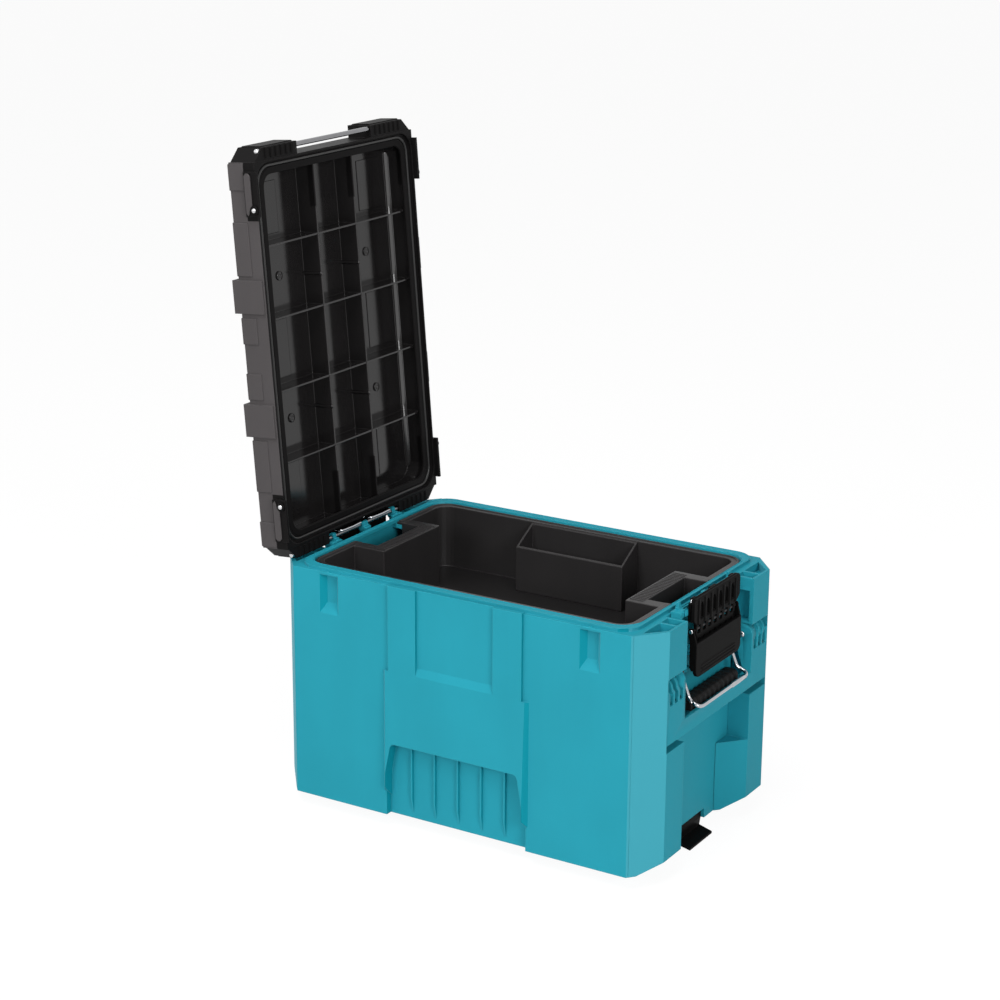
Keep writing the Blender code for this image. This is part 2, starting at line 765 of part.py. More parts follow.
for end, s in ENDS.items():
    plate = box((POST_IN, POST_IN + PLATE_THICK), (-PLATE_HALF, PLATE_HALF), PLATE_Z, s)
    bracket = part("latch_bracket_" + end, [plate], "teal")
    join(bracket, "cradles", [prism(CRADLE, "y", low, high, s) for low, high in CRADLES])
    join(bracket, "claw_lugs", [prism(LUG, "y", low, high, s) for low, high in LUG_SPANS])
    join(bracket, "bail_lugs", [prism(BAIL_LUG, "y", low, high, s) for low, high in BAIL_LUG_SPANS])
    cut(
        bracket,
        "bores",
        [rod(ROD_X, ROD_Z, ROD + 0.4, longer(span), s, 20) for span in CRADLES]
        + [rod(PIVOT_X, PIVOT_Z, LATCH_PIN + 0.2, longer(span), s, 16) for span in LUG_SPANS]
        + [rod(BAIL_X, BAIL_Z, BAIL_WIRE + 0.25, longer(span), s, 16) for span in BAIL_LUG_SPANS],
    )

# Tray and the pocket in it
lift = axis("tray_axis", 0.0, TRAY_FLOOR)
tray = part(
    "liner_tray",
    [prism(rounded(TRAY_X, TRAY_Y, TRAY_ROUND), "z", TRAY_FLOOR - TRAY_WALL, TRAY_RIM)],
    "black",
    lift,
)
join(tray, "flange", [prism(rounded(FLANGE_X, FLANGE_Y, FLANGE_ROUND), "z", LEDGE + FIT, TRAY_RIM)])
cut(
    tray,
    "bowl",
    [prism(rounded(TRAY_X - TRAY_WALL, TRAY_Y - TRAY_WALL, TRAY_ROUND - 2), "z", TRAY_FLOOR, TRAY_RIM + 4)],
)
SHELF = (-GRIP_SHELF_HALF, GRIP_SHELF_HALF)
join(tray, "grips", [box((SHELF_IN, TRAY_X - 1), SHELF, (TRAY_FLOOR - 1, TRAY_RIM - 0.5), s) for s in SIDES])
cut(
    tray,
    "finger_holes",
    [box((HOLE_IN, FLANGE_X + 4), (-HOLE_HALF, HOLE_HALF), (TRAY_FLOOR - 6, TRAY_RIM + 4), s) for s in SIDES],
)
HOLLOW_X = (SHELF_IN + TRAY_WALL, HOLE_IN - TRAY_WALL)
HOLLOW_Y = (-GRIP_SHELF_HALF + TRAY_WALL, GRIP_SHELF_HALF - TRAY_WALL)
cut(tray, "grip_hollows", [box(HOLLOW_X, HOLLOW_Y, (TRAY_FLOOR - 6, TRAY_RIM - 4), s) for s in SIDES])
POCKET_BACK = TRAY_Y - TRAY_WALL - FIT
SIDE_POCKET = [
    (SIDE_POCKET_Y, TRAY_FLOOR + FIT),
    (SIDE_POCKET_Y, TRAY_RIM - SIDE_POCKET_LOW),
    (POCKET_BACK, TRAY_RIM - 1),
    (POCKET_BACK, TRAY_FLOOR + FIT),
]
pocket = part("side_pocket", [prism(SIDE_POCKET, "x", -SIDE_POCKET_HALF, SIDE_POCKET_HALF)], "black", lift)
cut(
    pocket,
    "inside",
    [
        box(
            (-SIDE_POCKET_HALF + TRAY_WALL, SIDE_POCKET_HALF - TRAY_WALL),
            (SIDE_POCKET_Y + TRAY_WALL, POCKET_BACK - TRAY_WALL),
            (TRAY_FLOOR + FIT + TRAY_WALL, TRAY_RIM + 5),
        )
    ],
)

# Lid
hinge = axis("lid_axis", -ROD_X, ROD_Z, -LID_OPEN)
lid = part("lid_shell", [box((-END_FLOOR, END_FLOOR), (-HALF_WIDTH, HALF_WIDTH), (SKIRT, ROOF))], "black", hinge)
BLOCK = [
    (END_FLOOR - 6, BLOCK_IN),
    (BLOCK_X, BLOCK_IN),
    (BLOCK_X, BLOCK_OUT),
    (END_FLOOR - 3, HALF_WIDTH),
    (END_FLOOR - 6, HALF_WIDTH),
]
join(
    lid,
    "end_blocks",
    [prism(outline, "z", BLOCK_FOOT, ROOF - 1, s) for s in SIDES for outline in mirrored(BLOCK)],
)
SIDE_BLOCK = (SIDE_BLOCK_X - SIDE_BLOCK_WIDE / 2, SIDE_BLOCK_X + SIDE_BLOCK_WIDE / 2)
SIDE_BLOCK_Y = both(HALF_WIDTH - 12, HALF_WIDTH + SIDE_BLOCK_PROUD)
join(
    lid,
    "side_blocks",
    [box(SIDE_BLOCK, span, (SKIRT + 1.5, ROOF + SIDE_BLOCK_RISE), s) for s in SIDES for span in SIDE_BLOCK_Y],
)
TAB_X = (TAB_OUT - TAB_LONG, TAB_OUT)
TAB_IN_Y = HALF_WIDTH + TAB_GAP
TAB_OUT_Y = TAB_IN_Y + TAB_THICK
TAB_PIN_Z = SKIRT + 1
join(
    lid,
    "tabs",
    [
        box(TAB_X, span, (SKIRT + 4, SKIRT + TAB_TALL), s)
        for s in SIDES
        for span in both(HALF_WIDTH - 2, TAB_OUT_Y)
    ],
)
join(
    lid,
    "tab_feet",
    [box(TAB_X, span, (SKIRT - TAB_HANG, SKIRT + 5), s) for s in SIDES for span in both(TAB_IN_Y, TAB_OUT_Y)],
)
cut(
    lid,
    "rim_room",
    [prism(rounded(END_FLOOR - 2.5, HALF_WIDTH - 2.5, MOUTH_ROUND - 2), "z", SKIRT - 3, RIM_TOP + 2)],
)
cut(lid, "hollow", [prism(rounded(LID_IN_X, LID_IN_Y, LID_ROUND), "z", RIM_TOP - 2, ROOF - ROOF_THICK)])
SEAL_FOOT = RIM_TOP + FIT
SEAL_TOP = RIM_TOP + SEAL_TALL
SEAL_OUT = rounded(SEAL_X + FIT, SEAL_Y + FIT, SEAL_ROUND + FIT)
SEAL_IN = rounded(SEAL_X - SEAL_WIDE - FIT, SEAL_Y - SEAL_WIDE - FIT, SEAL_ROUND - SEAL_WIDE + 1)
groove = mesh_object("lid_shell_groove", [prism(SEAL_OUT, "z", RIM_TOP, SEAL_TOP + FIT)], CUTTERS)
groove.hide_render = True
groove.display_type = "WIRE"
ride(groove, hinge)
cut(groove, "core", [prism(SEAL_IN, "z", RIM_TOP - 3, SEAL_TOP + 4)])
sink = lid.modifiers.new("seal_groove", "BOOLEAN")
sink.operation = "DIFFERENCE"
sink.solver = "EXACT"
sink.object = groove
RIB_EDGE = RIM_TOP + RIB_RISE
RIB_ROOT = ROOF - ROOF_THICK + 1.5
for i in (-1, 1):
    y = i * RIB_LONG
    join(
        lid,
        "rib_long_" + ("front" if i < 0 else "back"),
        [box((-LID_IN_X - 1, LID_IN_X + 1), (y - RIB_THICK / 2, y + RIB_THICK / 2), (RIB_EDGE, RIB_ROOT))],
    )
for i in (-3, -1, 1, 3):
    x = i * RIB_CROSS
    join(
        lid,
        "rib_cross_" + str(i + 4),
        [box((x - RIB_THICK / 2, x + RIB_THICK / 2), (-LID_IN_Y - 1, LID_IN_Y + 1), (RIB_EDGE + 0.2, RIB_ROOT))],
    )
cut(
    lid,
    "bores",
    [rod(ROD_X, ROD_Z, ROD + 0.25, span, s, 20) for s in SIDES for span in both(BLOCK_IN - 2, BLOCK_OUT + FIT)]
    + [
        rod(TAB_PIN_X, TAB_PIN_Z, TAB_PIN + 0.2, span, s, 16)
        for s in SIDES
        for span in both(TAB_IN_Y + 1, TAB_OUT_Y + 2)
    ],
)
seal = part("lid_seal", [prism(rounded(SEAL_X, SEAL_Y, SEAL_ROUND), "z", SEAL_FOOT, SEAL_TOP)], "rubber", hinge)
SEAL_CORE = rounded(SEAL_X - SEAL_WIDE, SEAL_Y - SEAL_WIDE, SEAL_ROUND - SEAL_WIDE + 1)
cut(seal, "inside", [prism(SEAL_CORE, "z", RIM_TOP - 3, SEAL_TOP + 4)])
part("lid_rod_hinge", [rod(-ROD_X, ROD_Z, ROD, (-BLOCK_OUT, BLOCK_OUT))], "steel", hinge)
part("lid_rod_latch", [rod(ROD_X, ROD_Z, ROD, (-BLOCK_OUT, BLOCK_OUT))], "steel", hinge)
for end, s in ENDS.items():
    for face, span in zip(("front", "back"), both(TAB_IN_Y + 1.2, TAB_OUT_Y + 1.2)):
        part("tab_pin_" + end + "_" + face, [rod(TAB_PIN_X, TAB_PIN_Z, TAB_PIN, span, s, 16)], "steel", hinge)

# The two ends: handle, latch and stacking hook
for end, s in ENDS.items():
    swing = axis("handle_axis_" + end, s * HANDLE_X, HANDLE_Z)
    arm = hull(
        circle(HANDLE_X, HANDLE_Z, HANDLE_EYE, 28)
        + [(HANDLE_X - HANDLE_EYE + 3, HANDLE_FOOT), (HALF_LENGTH, HANDLE_FOOT), (HALF_LENGTH, HANDLE_Z)]
    )
    bar_half = RECESS_HALF + 8
    handle = part(
        "handle_" + end,
        [box((GRIP_FRONT - BAR_THICK / 2, HALF_LENGTH), (-bar_half, bar_half), (HANDLE_FOOT, BAR_TOP), s)],
        "teal",
        swing,
    )
    join(handle, "arms", [prism(arm, "y", low, high, s) for low, high in both(RECESS_HALF + 0.6, HANDLE_HALF)])
    arm_top = HANDLE_Z - HANDLE_EYE - POST_WALL
    cut(
        handle,
        "hollows",
        [
            box((END_FLOOR, HALF_LENGTH - HANDLE_WALL), span, (HANDLE_FOOT + HANDLE_WALL, arm_top), s)
            for span in both(RECESS_HALF + HANDLE_WALL + 1, HANDLE_HALF - HANDLE_WALL)
        ]
        + [
            box(
                (GRIP_FRONT - BAR_THICK, GRIP_FRONT + 0.5),
                (-GRIP_HALF - 0.5, GRIP_HALF + 0.5),
                (HANDLE_FOOT + HANDLE_WALL - 0.5, BAR_TOP + 3),
                s,
            )
        ],
    )
    slots = []
    for at in SLOTS:
        low, bend, high = HANDLE_Z - SLOT_LOW, HANDLE_Z - SLOT_BEND, HANDLE_Z + SLOT_HIGH
        near = RECESS_HALF + at - SLOT_WIDE / 2
        far = near + SLOT_SHIFT
        bolt = [
            (near, low),
            (near + SLOT_WIDE, low),
            (near + SLOT_WIDE, bend - 2),
            (far + SLOT_WIDE, bend + 4),
            (far + SLOT_WIDE, high),
            (far, high),
            (far, bend + 2),
            (near, bend - 4),
        ]
        for outline in turned(bolt):
            slots.append(prism(outline, "x", HALF_LENGTH - SLOT_DEEP, HALF_LENGTH + 3, s))
    cut(handle, "slots", slots)
    cut(
        handle,
        "bores",
        [
            rod(HANDLE_X, HANDLE_Z, HANDLE_PIN + 0.2, span, s, 16)
            for span in both(RECESS_HALF - 1, HANDLE_HALF + 1)
        ],
    )
    grip_middle = ((GRIP_BACK + GRIP_FRONT) / 2, GRIP_LOW + GRIP_TALL / 2)
    grip_step = 2 * GRIP_HALF / (2 * GRIP_RIBS - 1)
    grip_rings = []
    for i in range(2 * GRIP_RIBS - 1):
        inset = GRIP_RIB_DEEP if i % 2 else 0.0
        outline = rounded(GRIP_DEEP / 2 - inset, GRIP_TALL / 2 - inset, 0.3 * GRIP_DEEP, 3)
        start = -GRIP_HALF + (i + 0.15 * (i > 0)) * grip_step
        stop = -GRIP_HALF + (i + 1 - 0.15 * (i < 2 * GRIP_RIBS - 2)) * grip_step
        for y in (start, stop):
            grip_rings.append([(s * (u + grip_middle[0]), y, v + grip_middle[1]) for u, v in outline])
    part("handle_grip_" + end, [stack(grip_rings)], "black", swing)
    for face, span in zip(("front", "back"), both(RECESS_HALF - 1.5, PIN_END)):
        part("handle_pin_" + end + "_" + face, [rod(HANDLE_X, HANDLE_Z, HANDLE_PIN, span, s, 16)], "steel")

    open_axis = axis("claw_axis_" + end, s * PIVOT_X, PIVOT_Z)
    waist_top = PIVOT_Z + CLAW_BARREL + 3
    half_neck = [
        (CLAW_HALF - 4, CLAW_TOP),
        (CLAW_HALF, CLAW_TOP - 4),
        (CLAW_HALF, CLAW_SHOULDER),
        (CLAW_NECK, CLAW_SHOULDER),
        (CLAW_NECK, waist_top),
        (CLAW_WAIST, waist_top),
        (CLAW_WAIST, PIVOT_Z - 1),
    ]
    neck = half_neck + [(-y, z) for y, z in half_neck[::-1]]
    claw = part("claw_" + end, [prism(neck, "x", CLAW_BACK, CLAW_FACE, s)], "black", open_axis)
    join(claw, "lower_barrel", [rod(PIVOT_X, PIVOT_Z, CLAW_BARREL, (-CLAW_WAIST + 0.4, CLAW_WAIST - 0.4), s)])
    join(claw, "upper_barrel", [rod(LEVER_X, LEVER_Z, LEVER_BARREL, (-CLAW_NECK + 0.4, CLAW_NECK - 0.4), s)])
    barrel_low = HOOK_OUT - BARREL_WIDE - 3
    hooks = both(barrel_low, barrel_low + BARREL_WIDE) + [(-HOOK_IN + 3, HOOK_IN - 3)]
    join(claw, "hook_barrels", [rod(HOOK_X, HOOK_Z, HOOK_BARREL, span, s, 20) for span in hooks])
    places = [i - (CLAW_RIBS - 1) / 2 for i in range(CLAW_RIBS)]
    rib_half = CLAW_RIB_WIDE / 2
    rib_nose = CLAW_FACE + CLAW_RIB_PROUD
    ribs = []
    for place in places:
        y = place * CLAW_RIB_PITCH
        rib = [
            (CLAW_FACE - 1, y - rib_half),
            (rib_nose - 1.6, y - rib_half),
            (rib_nose, y - 0.45 * rib_half),
            (rib_nose, y + 0.45 * rib_half),
            (rib_nose - 1.6, y + rib_half),
            (CLAW_FACE - 1, y + rib_half),
        ]
        ribs.append(prism(rib, "z", LEVER_Z + CLAW_RIB_FOOT, CLAW_TOP - 4, s))
    join(claw, "ribs", ribs)
    window_low = LEVER_Z - WINDOW_TALL / 2 - 1
    cut(
        claw,
        "windows",
        [
            box(
                (PIVOT_X - 20, rib_nose + 2),
                (place * WINDOW_PITCH - WINDOW_WIDE / 2, place * WINDOW_PITCH + WINDOW_WIDE / 2),
                (window_low, window_low + WINDOW_TALL),
                s,
            )
            for place in places
        ],
    )
    cut(
        claw,
        "bores",
        [
            rod(PIVOT_X, PIVOT_Z, LATCH_PIN + 0.2, (-CLAW_WAIST - 2, CLAW_WAIST + 2), s, 16),
            rod(LEVER_X, LEVER_Z, LATCH_PIN + 0.2, (-CLAW_NECK - 2, CLAW_NECK + 2), s, 16),
        ]
        + [rod(HOOK_X, HOOK_Z, HOOK_WIRE + 0.25, (low - 1, high + 1), s, 14) for low, high in hooks],
    )
    pin_half = LUG_LOW + LUG_WIDE
    part("claw_pin_" + end, [rod(PIVOT_X, PIVOT_Z, LATCH_PIN, (-pin_half, pin_half), s, 16)], "steel")

    lever_axis = axis("lever_axis_" + end, s * LEVER_X, LEVER_Z)
    half_plate = [
        (CLAW_HALF, LEVER_TOP),
        (CLAW_HALF, LEVER_FOOT + LEVER_CHAMFER),
        (CLAW_HALF - 0.3 * LEVER_CHAMFER, LEVER_FOOT + 0.4 * LEVER_CHAMFER),
        (CLAW_HALF - LEVER_CHAMFER, LEVER_FOOT),
    ]
    plate = half_plate + [(-y, z) for y, z in half_plate[::-1]]
    lever = part("lever_" + end, [prism(plate, "x", LEVER_BACK, LEVER_FACE, s)], "black", lever_axis)
    cheek = hull(
        circle(LEVER_X, LEVER_Z, LEVER_BARREL + 0.1, 20)
        + [(LEVER_BACK + 0.4, LEVER_TOP - 5)]
        + [(LEVER_FACE - 0.4, LEVER_TOP - 5), (LEVER_FACE - 0.4, LEVER_TOP + 1)]
    )
    cheek_spans = both(CLAW_HALF - CHEEK, CLAW_HALF - 0.4)
    join(lever, "cheeks", [prism(cheek, "y", low, high, s) for low, high in cheek_spans])
    join(
        lever,
        "flanges",
        [
            box(
                (LEVER_BACK - FLANGE_BACK, LEVER_FACE - 0.6),
                span,
                (LEVER_FOOT + LEVER_CHAMFER + 1, LEVER_TOP - 0.6),
                s,
            )
            for span in both(CLAW_HALF - FLANGE_THICK, CLAW_HALF - 0.2)
        ],
    )
    lines = [LEVER_FOOT + LINE_FOOT + i * LINE_PITCH for i in range(3)]
    cut(
        lever,
        "lines",
        [
            box((LEVER_FACE - LINE_DEEP, LEVER_FACE + 2), (-LINE_HALF, LINE_HALF), (z, z + LINE_TALL), s)
            for z in lines
        ],
    )
    cut(
        lever,
        "bores",
        [
            rod(LEVER_X, LEVER_Z, LATCH_PIN + 0.2, span, s, 16)
            for span in both(CLAW_HALF - CHEEK - 1, CLAW_HALF + 1)
        ],
    )
    pin_half = CLAW_HALF - 0.5
    lever_pin = rod(LEVER_X, LEVER_Z, LATCH_PIN, (-pin_half, pin_half), s, 16)
    part("lever_pin_" + end, [lever_pin], "steel", open_axis)

    hook_axis = axis("hook_axis_" + end, s * HOOK_X, HOOK_Z)
    reach = (HOOK_X, HOOK_Z - HOOK_LONG) if s > 0 else (HOOK_X - HOOK_LONG, HOOK_Z)
    half_hook = [
        (s * HOOK_X, barrel_low + 1.5, HOOK_Z),
        (s * HOOK_X, HOOK_OUT, HOOK_Z),
        (s * reach[0], HOOK_OUT, reach[1]),
        (s * reach[0], HOOK_IN, reach[1]),
        (s * HOOK_X, HOOK_IN, HOOK_Z),
    ]
    hook_path = half_hook + [(x, -y, z) for x, y, z in half_hook[::-1]]
    part("hook_wire_" + end, [wire(bent(hook_path, 2.0, 2), HOOK_WIRE, 8)], "steel", hook_axis)

    bail_axis = axis("bail_axis_" + end, s * BAIL_X, BAIL_Z)
    half_bail = [
        (s * BAIL_X, BAIL_HALF - BAIL_END, BAIL_Z),
        (s * BAIL_X, BAIL_HALF, BAIL_Z),
        (s * (BAIL_X + BAIL_LEG_X), BAIL_HALF, BAIL_Z - BAIL_LEG_Z),
        (s * (BAIL_X + BAIL_LEG_X + BAIL_TOE_X), BAIL_HALF + BAIL_TOE_Y, BAIL_Z - BAIL_LEG_Z - BAIL_TOE_Z),
    ]
    bail_path = half_bail + [(x, -y, z) for x, y, z in half_bail[::-1]]
    part("bail_" + end, [wire(bent(bail_path, BAIL_BEND, 4), BAIL_WIRE, 10)], "steel", bail_axis)

    tongue_back = END_FLOOR - TONGUE_INSET
    tongue_face = tongue_back + TONGUE_THICK
    tongue = [
        (tongue_back, NOTCH_TOP - 1),
        (tongue_back, BASE + 1),
        (tongue_back - 0.8 * TONGUE_THICK, 0.425 * BASE),
        (tongue_back - 0.4 * TONGUE_THICK, 0.3 * BASE),
        (END_FLOOR + TONGUE_REACH, 0.04 * BASE),
        (END_FLOOR + TONGUE_REACH, 0.19 * BASE),
        (tongue_back + 0.5 * TONGUE_THICK, 0.475 * BASE),
        (tongue_face, BASE + 1),
        (tongue_face, NOTCH_TOP - 1),
    ]
    part("stacking_hook_" + end, [prism(tongue, "y", -TONGUE_HALF, TONGUE_HALF, s)], "black")
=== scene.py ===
import math

import bmesh
import bpy
from mathutils import Matrix, Vector


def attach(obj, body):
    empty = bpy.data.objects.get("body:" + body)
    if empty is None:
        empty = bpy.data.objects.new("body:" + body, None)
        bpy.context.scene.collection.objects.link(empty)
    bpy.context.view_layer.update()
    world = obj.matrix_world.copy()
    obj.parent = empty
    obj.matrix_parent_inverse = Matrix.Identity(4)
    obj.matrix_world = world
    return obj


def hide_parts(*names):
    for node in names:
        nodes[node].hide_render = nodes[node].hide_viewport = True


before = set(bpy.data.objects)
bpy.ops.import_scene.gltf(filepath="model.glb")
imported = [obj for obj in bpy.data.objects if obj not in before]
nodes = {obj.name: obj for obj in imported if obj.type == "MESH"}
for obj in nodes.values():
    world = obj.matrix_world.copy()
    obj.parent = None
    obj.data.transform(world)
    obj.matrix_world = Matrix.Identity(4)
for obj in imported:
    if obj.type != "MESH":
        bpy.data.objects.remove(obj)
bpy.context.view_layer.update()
mm = 0.001
sides = (-1, 1)
endNames = {-1: "left", 1: "right"}
print("frame loaded:", len(nodes), "nodes")


# one socket of a node tree, so that shader maths reads as plain expressions
class Sock:
    def __init__(self, tree, socket=None):
        self.tree = tree
        self.socket = socket

    def node(self, kind, settings=None, inputs=None, out=0):
        made = self.tree.nodes.new(kind)
        for key, value in (settings or {}).items():
            setattr(made, key, value)
        for key, value in (inputs or {}).items():
            self.feed(made.inputs[key], value)
        return Sock(self.tree, made.outputs[out] if made.outputs else None)

    def feed(self, target, value):
        if isinstance(value, Sock):
            self.tree.links.new(value.socket, target)
        else:
            target.default_value = value

    def math(self, operation, a, b):
        return self.node("ShaderNodeMath", {"operation": operation}, {0: a, 1: b})

    def __add__(self, other):
        return self.math("ADD", self, other)

    def __radd__(self, other):
        return self.math("ADD", other, self)

    def __sub__(self, other):
        return self.math("SUBTRACT", self, other)

    def __rsub__(self, other):
        return self.math("SUBTRACT", other, self)

    def __mul__(self, other):
        return self.math("MULTIPLY", self, other)

    def __rmul__(self, other):
        return self.math("MULTIPLY", other, self)


# camera fitted to the corners of the case in the photograph
camera = {
    "lens": 85.14,
    "sensor": 36.0,
    "clipEnd": 100.0,
    "azimuth": 31.16,
    "elevation": 16.90,
    "roll": 0.40,
    "distance": 3216.73,
    "target": (-33.56, -20.06, 439.71),
}


def makeCamera(spec):
    a = math.radians(spec["azimuth"])
    e = math.radians(spec["elevation"])
    r = math.radians(spec["roll"])
    back = Vector((math.sin(a) * math.cos(e), -math.cos(a) * math.cos(e), math.sin(e)))
    flat = Vector((math.cos(a), math.sin(a), 0.0))
    lift = back.cross(flat)
    right = flat * math.cos(r) + lift * math.sin(r)
    up = lift * math.cos(r) - flat * math.sin(r)
    made = bpy.data.objects.new("camera", bpy.data.cameras.new("camera"))
    made.data.lens = spec["lens"]
    made.data.sensor_width = spec["sensor"]
    made.data.clip_end = spec["clipEnd"]
    place = (Vector(spec["target"]) + back * spec["distance"]) * mm
    turn = Matrix((right, up, back)).transposed()
    made.matrix_world = Matrix.Translation(place) @ turn.to_4x4()
    bpy.context.scene.collection.objects.link(made)
    bpy.context.scene.camera = made


makeCamera(camera)
bpy.context.scene.view_settings.view_transform = "Standard"
print("camera placed")

# stage: white paper floor, soft sky and soft boxes
stage = {
    "floorHalf": 24.0,
    "floorColour": (0.86, 0.86, 0.86, 1.0),
    "floorRough": 0.9,
    "paperShare": 0.12,  # how much of the lit paper the camera sees, and so how deep the shadow is
    "glow": 1.06,
    "skyLevel": 0.17,
    "boxes": {
        "keySoftbox": {"place": (-0.6, -4.1, 2.0), "aim": (0.0, -0.1, 0.35), "size": 1.3, "power": 60.0},
        "sideSoftbox": {"place": (3.5, -2.2, 2.0), "aim": (0.1, 0.0, 0.40), "size": 1.5, "power": 94.0},
        "topSoftbox": {"place": (0.0, -1.3, 3.5), "aim": (0.0, 0.0, 0.3), "size": 2.2, "power": 84.0},
        "fillSoftbox": {"place": (-3.6, -2.2, 1.6), "aim": (-0.2, 0.0, 0.45), "size": 2.0, "power": 10.0},
    },
}
white = (1.0, 1.0, 1.0, 1.0)


# 1 where the camera, a reflection or a see-through piece looks straight at the stage
def seenAsWhite(tree):
    start = Sock(tree)
    rays = ("Is Camera Ray", "Is Glossy Ray", "Is Transmission Ray")
    direct, glossy, through = (start.node("ShaderNodeLightPath", out=ray) for ray in rays)
    return start.math("MINIMUM", direct + glossy + through, 1.0)


def makeStage(spec):
    world = bpy.data.worlds.new("studioSky")
    bpy.context.scene.world = world
    world.use_nodes = True
    tree = world.node_tree
    tree.nodes.clear()
    seen = seenAsWhite(tree)
    backdrop = seen.node("ShaderNodeBackground", {}, {"Color": white, "Strength": 1.0})
    sky = seen.node("ShaderNodeBackground", {}, {"Color": white, "Strength": spec["skyLevel"]})
    mixed = seen.node("ShaderNodeMixShader", {}, {0: seen, 1: sky, 2: backdrop})
    mixed.node("ShaderNodeOutputWorld", {}, {"Surface": mixed})

    half = spec["floorHalf"]
    mesh = bpy.data.meshes.new("floor")
    corners = [(-half, -half, 0), (half, -half, 0), (half, half, 0), (-half, half, 0)]
    mesh.from_pydata(corners, [], [(0, 1, 2, 3)])
    floor = bpy.data.objects.new("floor", mesh)
    bpy.context.scene.collection.objects.link(floor)
    look = bpy.data.materials.new("floorPaper")
    look.use_nodes = True
    tree = look.node_tree
    paper = tree.nodes["Principled BSDF"]
    paper.inputs["Base Color"].default_value = spec["floorColour"]
    paper.inputs["Roughness"].default_value = spec["floorRough"]
    paper = Sock(tree, paper.outputs[0])
    glow = paper.node("ShaderNodeEmission", {}, {"Color": white, "Strength": spec["glow"]})
    lit = paper.node("ShaderNodeMixShader", {}, {0: 1.0 - spec["paperShare"], 1: paper, 2: glow})
    whole = paper.node("ShaderNodeMixShader", {}, {0: seenAsWhite(tree), 1: paper, 2: lit})
    whole.feed(tree.nodes["Material Output"].inputs["Surface"], whole)
    mesh.materials.append(look)

    for name, box in spec["boxes"].items():
        lamp = bpy.data.lights.new(name, "AREA")
        lamp.size = box["size"]
        lamp.energy = box["power"]
        made = bpy.data.objects.new(name, lamp)
        place = Vector(box["place"])
        turn = (place - Vector(box["aim"])).to_track_quat("Z", "Y")
        made.matrix_world = Matrix.Translation(place) @ turn.to_matrix().to_4x4()
        bpy.context.scene.collection.objects.link(made)


makeStage(stage)
print("stage lit")

# the lid is drawn shut and turned open about its hinge rod
lidHinge = {"x": -275.0, "z": 360.0, "open": 94.66}
hingePoint = Vector((lidHinge["x"], 0.0, lidHinge["z"])) * mm
lidSpin = Matrix.Rotation(math.radians(-lidHinge["open"]), 4, "Y")
lidTurn = Matrix.Translation(hingePoint) @ lidSpin @ Matrix.Translation(-hingePoint)

# moulded plastics: colour, edge colour for wear and for a painted edge highlight, roughness and gloss, fine
# grain, edge softness and flow marks
finishes = {
    "tealShell": {
        "colour": (0.0185, 0.270, 0.348),
        "wearAndHighlight": (0.075, 0.42, 0.50),
        # painted sheen: a paler tone for the chamfered corners
        "chamferSheen": (0.050, 0.318, 0.398),
        # painted shade: a deeper tone for the panels' side walls that face +x
        "wall": (0.004, 0.235, 0.300),
        "chamferSheenFrom": 145.0,
        "wallShadeFrom": 172.0,
        "wallShadeWithin": 250.0,
        "rough": 0.46,
        "gloss": 0.04,
        "grain": 2300.0,
        "depth": 0.10,
        "edge": 1.3,
        "flow": 0.05,
    },
    # painted shade: a dark teal for the plates behind the handles' vents
    "paintedShadeTeal": {
        "colour": (0.0030, 0.075, 0.100),
        "wearAndHighlight": (0.010, 0.12, 0.15),
        "rough": 0.60,
        "gloss": 0.02,
        "grain": 2300.0,
        "depth": 0.06,
        "edge": 0.8,
        "flow": 0.05,
    },
    "trayBlack": {
        "colour": (0.0195, 0.0183, 0.0186),
        "wearAndHighlight": (0.085, 0.078, 0.080),
        # painted shade: a darker tone for the tray's floor
        "floorShadeColour": (0.0055, 0.0051, 0.0052),
        "floorShadeBelow": 261.6,
        "rough": 0.40,
        "gloss": 0.22,
        "grain": 1900.0,
        "depth": 0.12,
        "edge": 2.2,
        "flow": 0.10,
    },
    "lidInside": {
        "colour": (0.0125, 0.0116, 0.0118),
        "wearAndHighlight": (0.055, 0.051, 0.052),
        "rough": 0.12,
        "gloss": 0.36,
        "grain": 2600.0,
        "depth": 0.03,
        "edge": 1.4,
        # strong flow marks here are tone variation that also paints lighter reflection patches
        "flow": 0.22,
    },
    "lidRimBlack": {
        "colour": (0.0062, 0.0058, 0.0059),
        "wearAndHighlight": (0.040, 0.037, 0.038),
        "rough": 0.45,
        "gloss": 0.03,
        "grain": 2300.0,
        "depth": 0.05,
        "edge": 1.0,
        "flow": 0.08,
    },
    "lidOutside": {
        "colour": (0.068, 0.0628, 0.0640),
        "wearAndHighlight": (0.115, 0.108, 0.110),
        "rough": 0.58,
        "gloss": 0.05,
        "grain": 1500.0,
        "depth": 0.20,
        "edge": 1.6,
        "flow": 0.06,
    },
    "lidPolished": {
        "colour": (0.020, 0.0188, 0.0190),
        "wearAndHighlight": (0.060, 0.056, 0.057),
        "rough": 0.13,
        "gloss": 1.0,
        "grain": 2600.0,
        "depth": 0.02,
        "edge": 1.0,
        "flow": 0.10,
    },
    "latchBlack": {
        "colour": (0.0046, 0.0045, 0.0045),
        "wearAndHighlight": (0.050, 0.048, 0.049),
        "rough": 0.36,
        "gloss": 0.014,
        "grain": 2300.0,
        "depth": 0.06,
        "edge": 0.8,
        "flow": 0.08,
    },
    "gripRubber": {
        "colour": (0.0070, 0.0068, 0.0068),
        "wearAndHighlight": (0.022, 0.021, 0.021),
        "rough": 0.60,
        "gloss": 0.12,
        "grain": 1700.0,
        "depth": 0.18,
        "edge": 1.0,
        "flow": 0.05,
    },
    "sealRubber": {
        "colour": (0.0075, 0.0073, 0.0073),
        "wearAndHighlight": (0.030, 0.029, 0.029),
        "rough": 0.36,
        "gloss": 0.40,
        "grain": 2100.0,
        "depth": 0.04,
        "edge": 0.8,
        "flow": 0.04,
    },
}

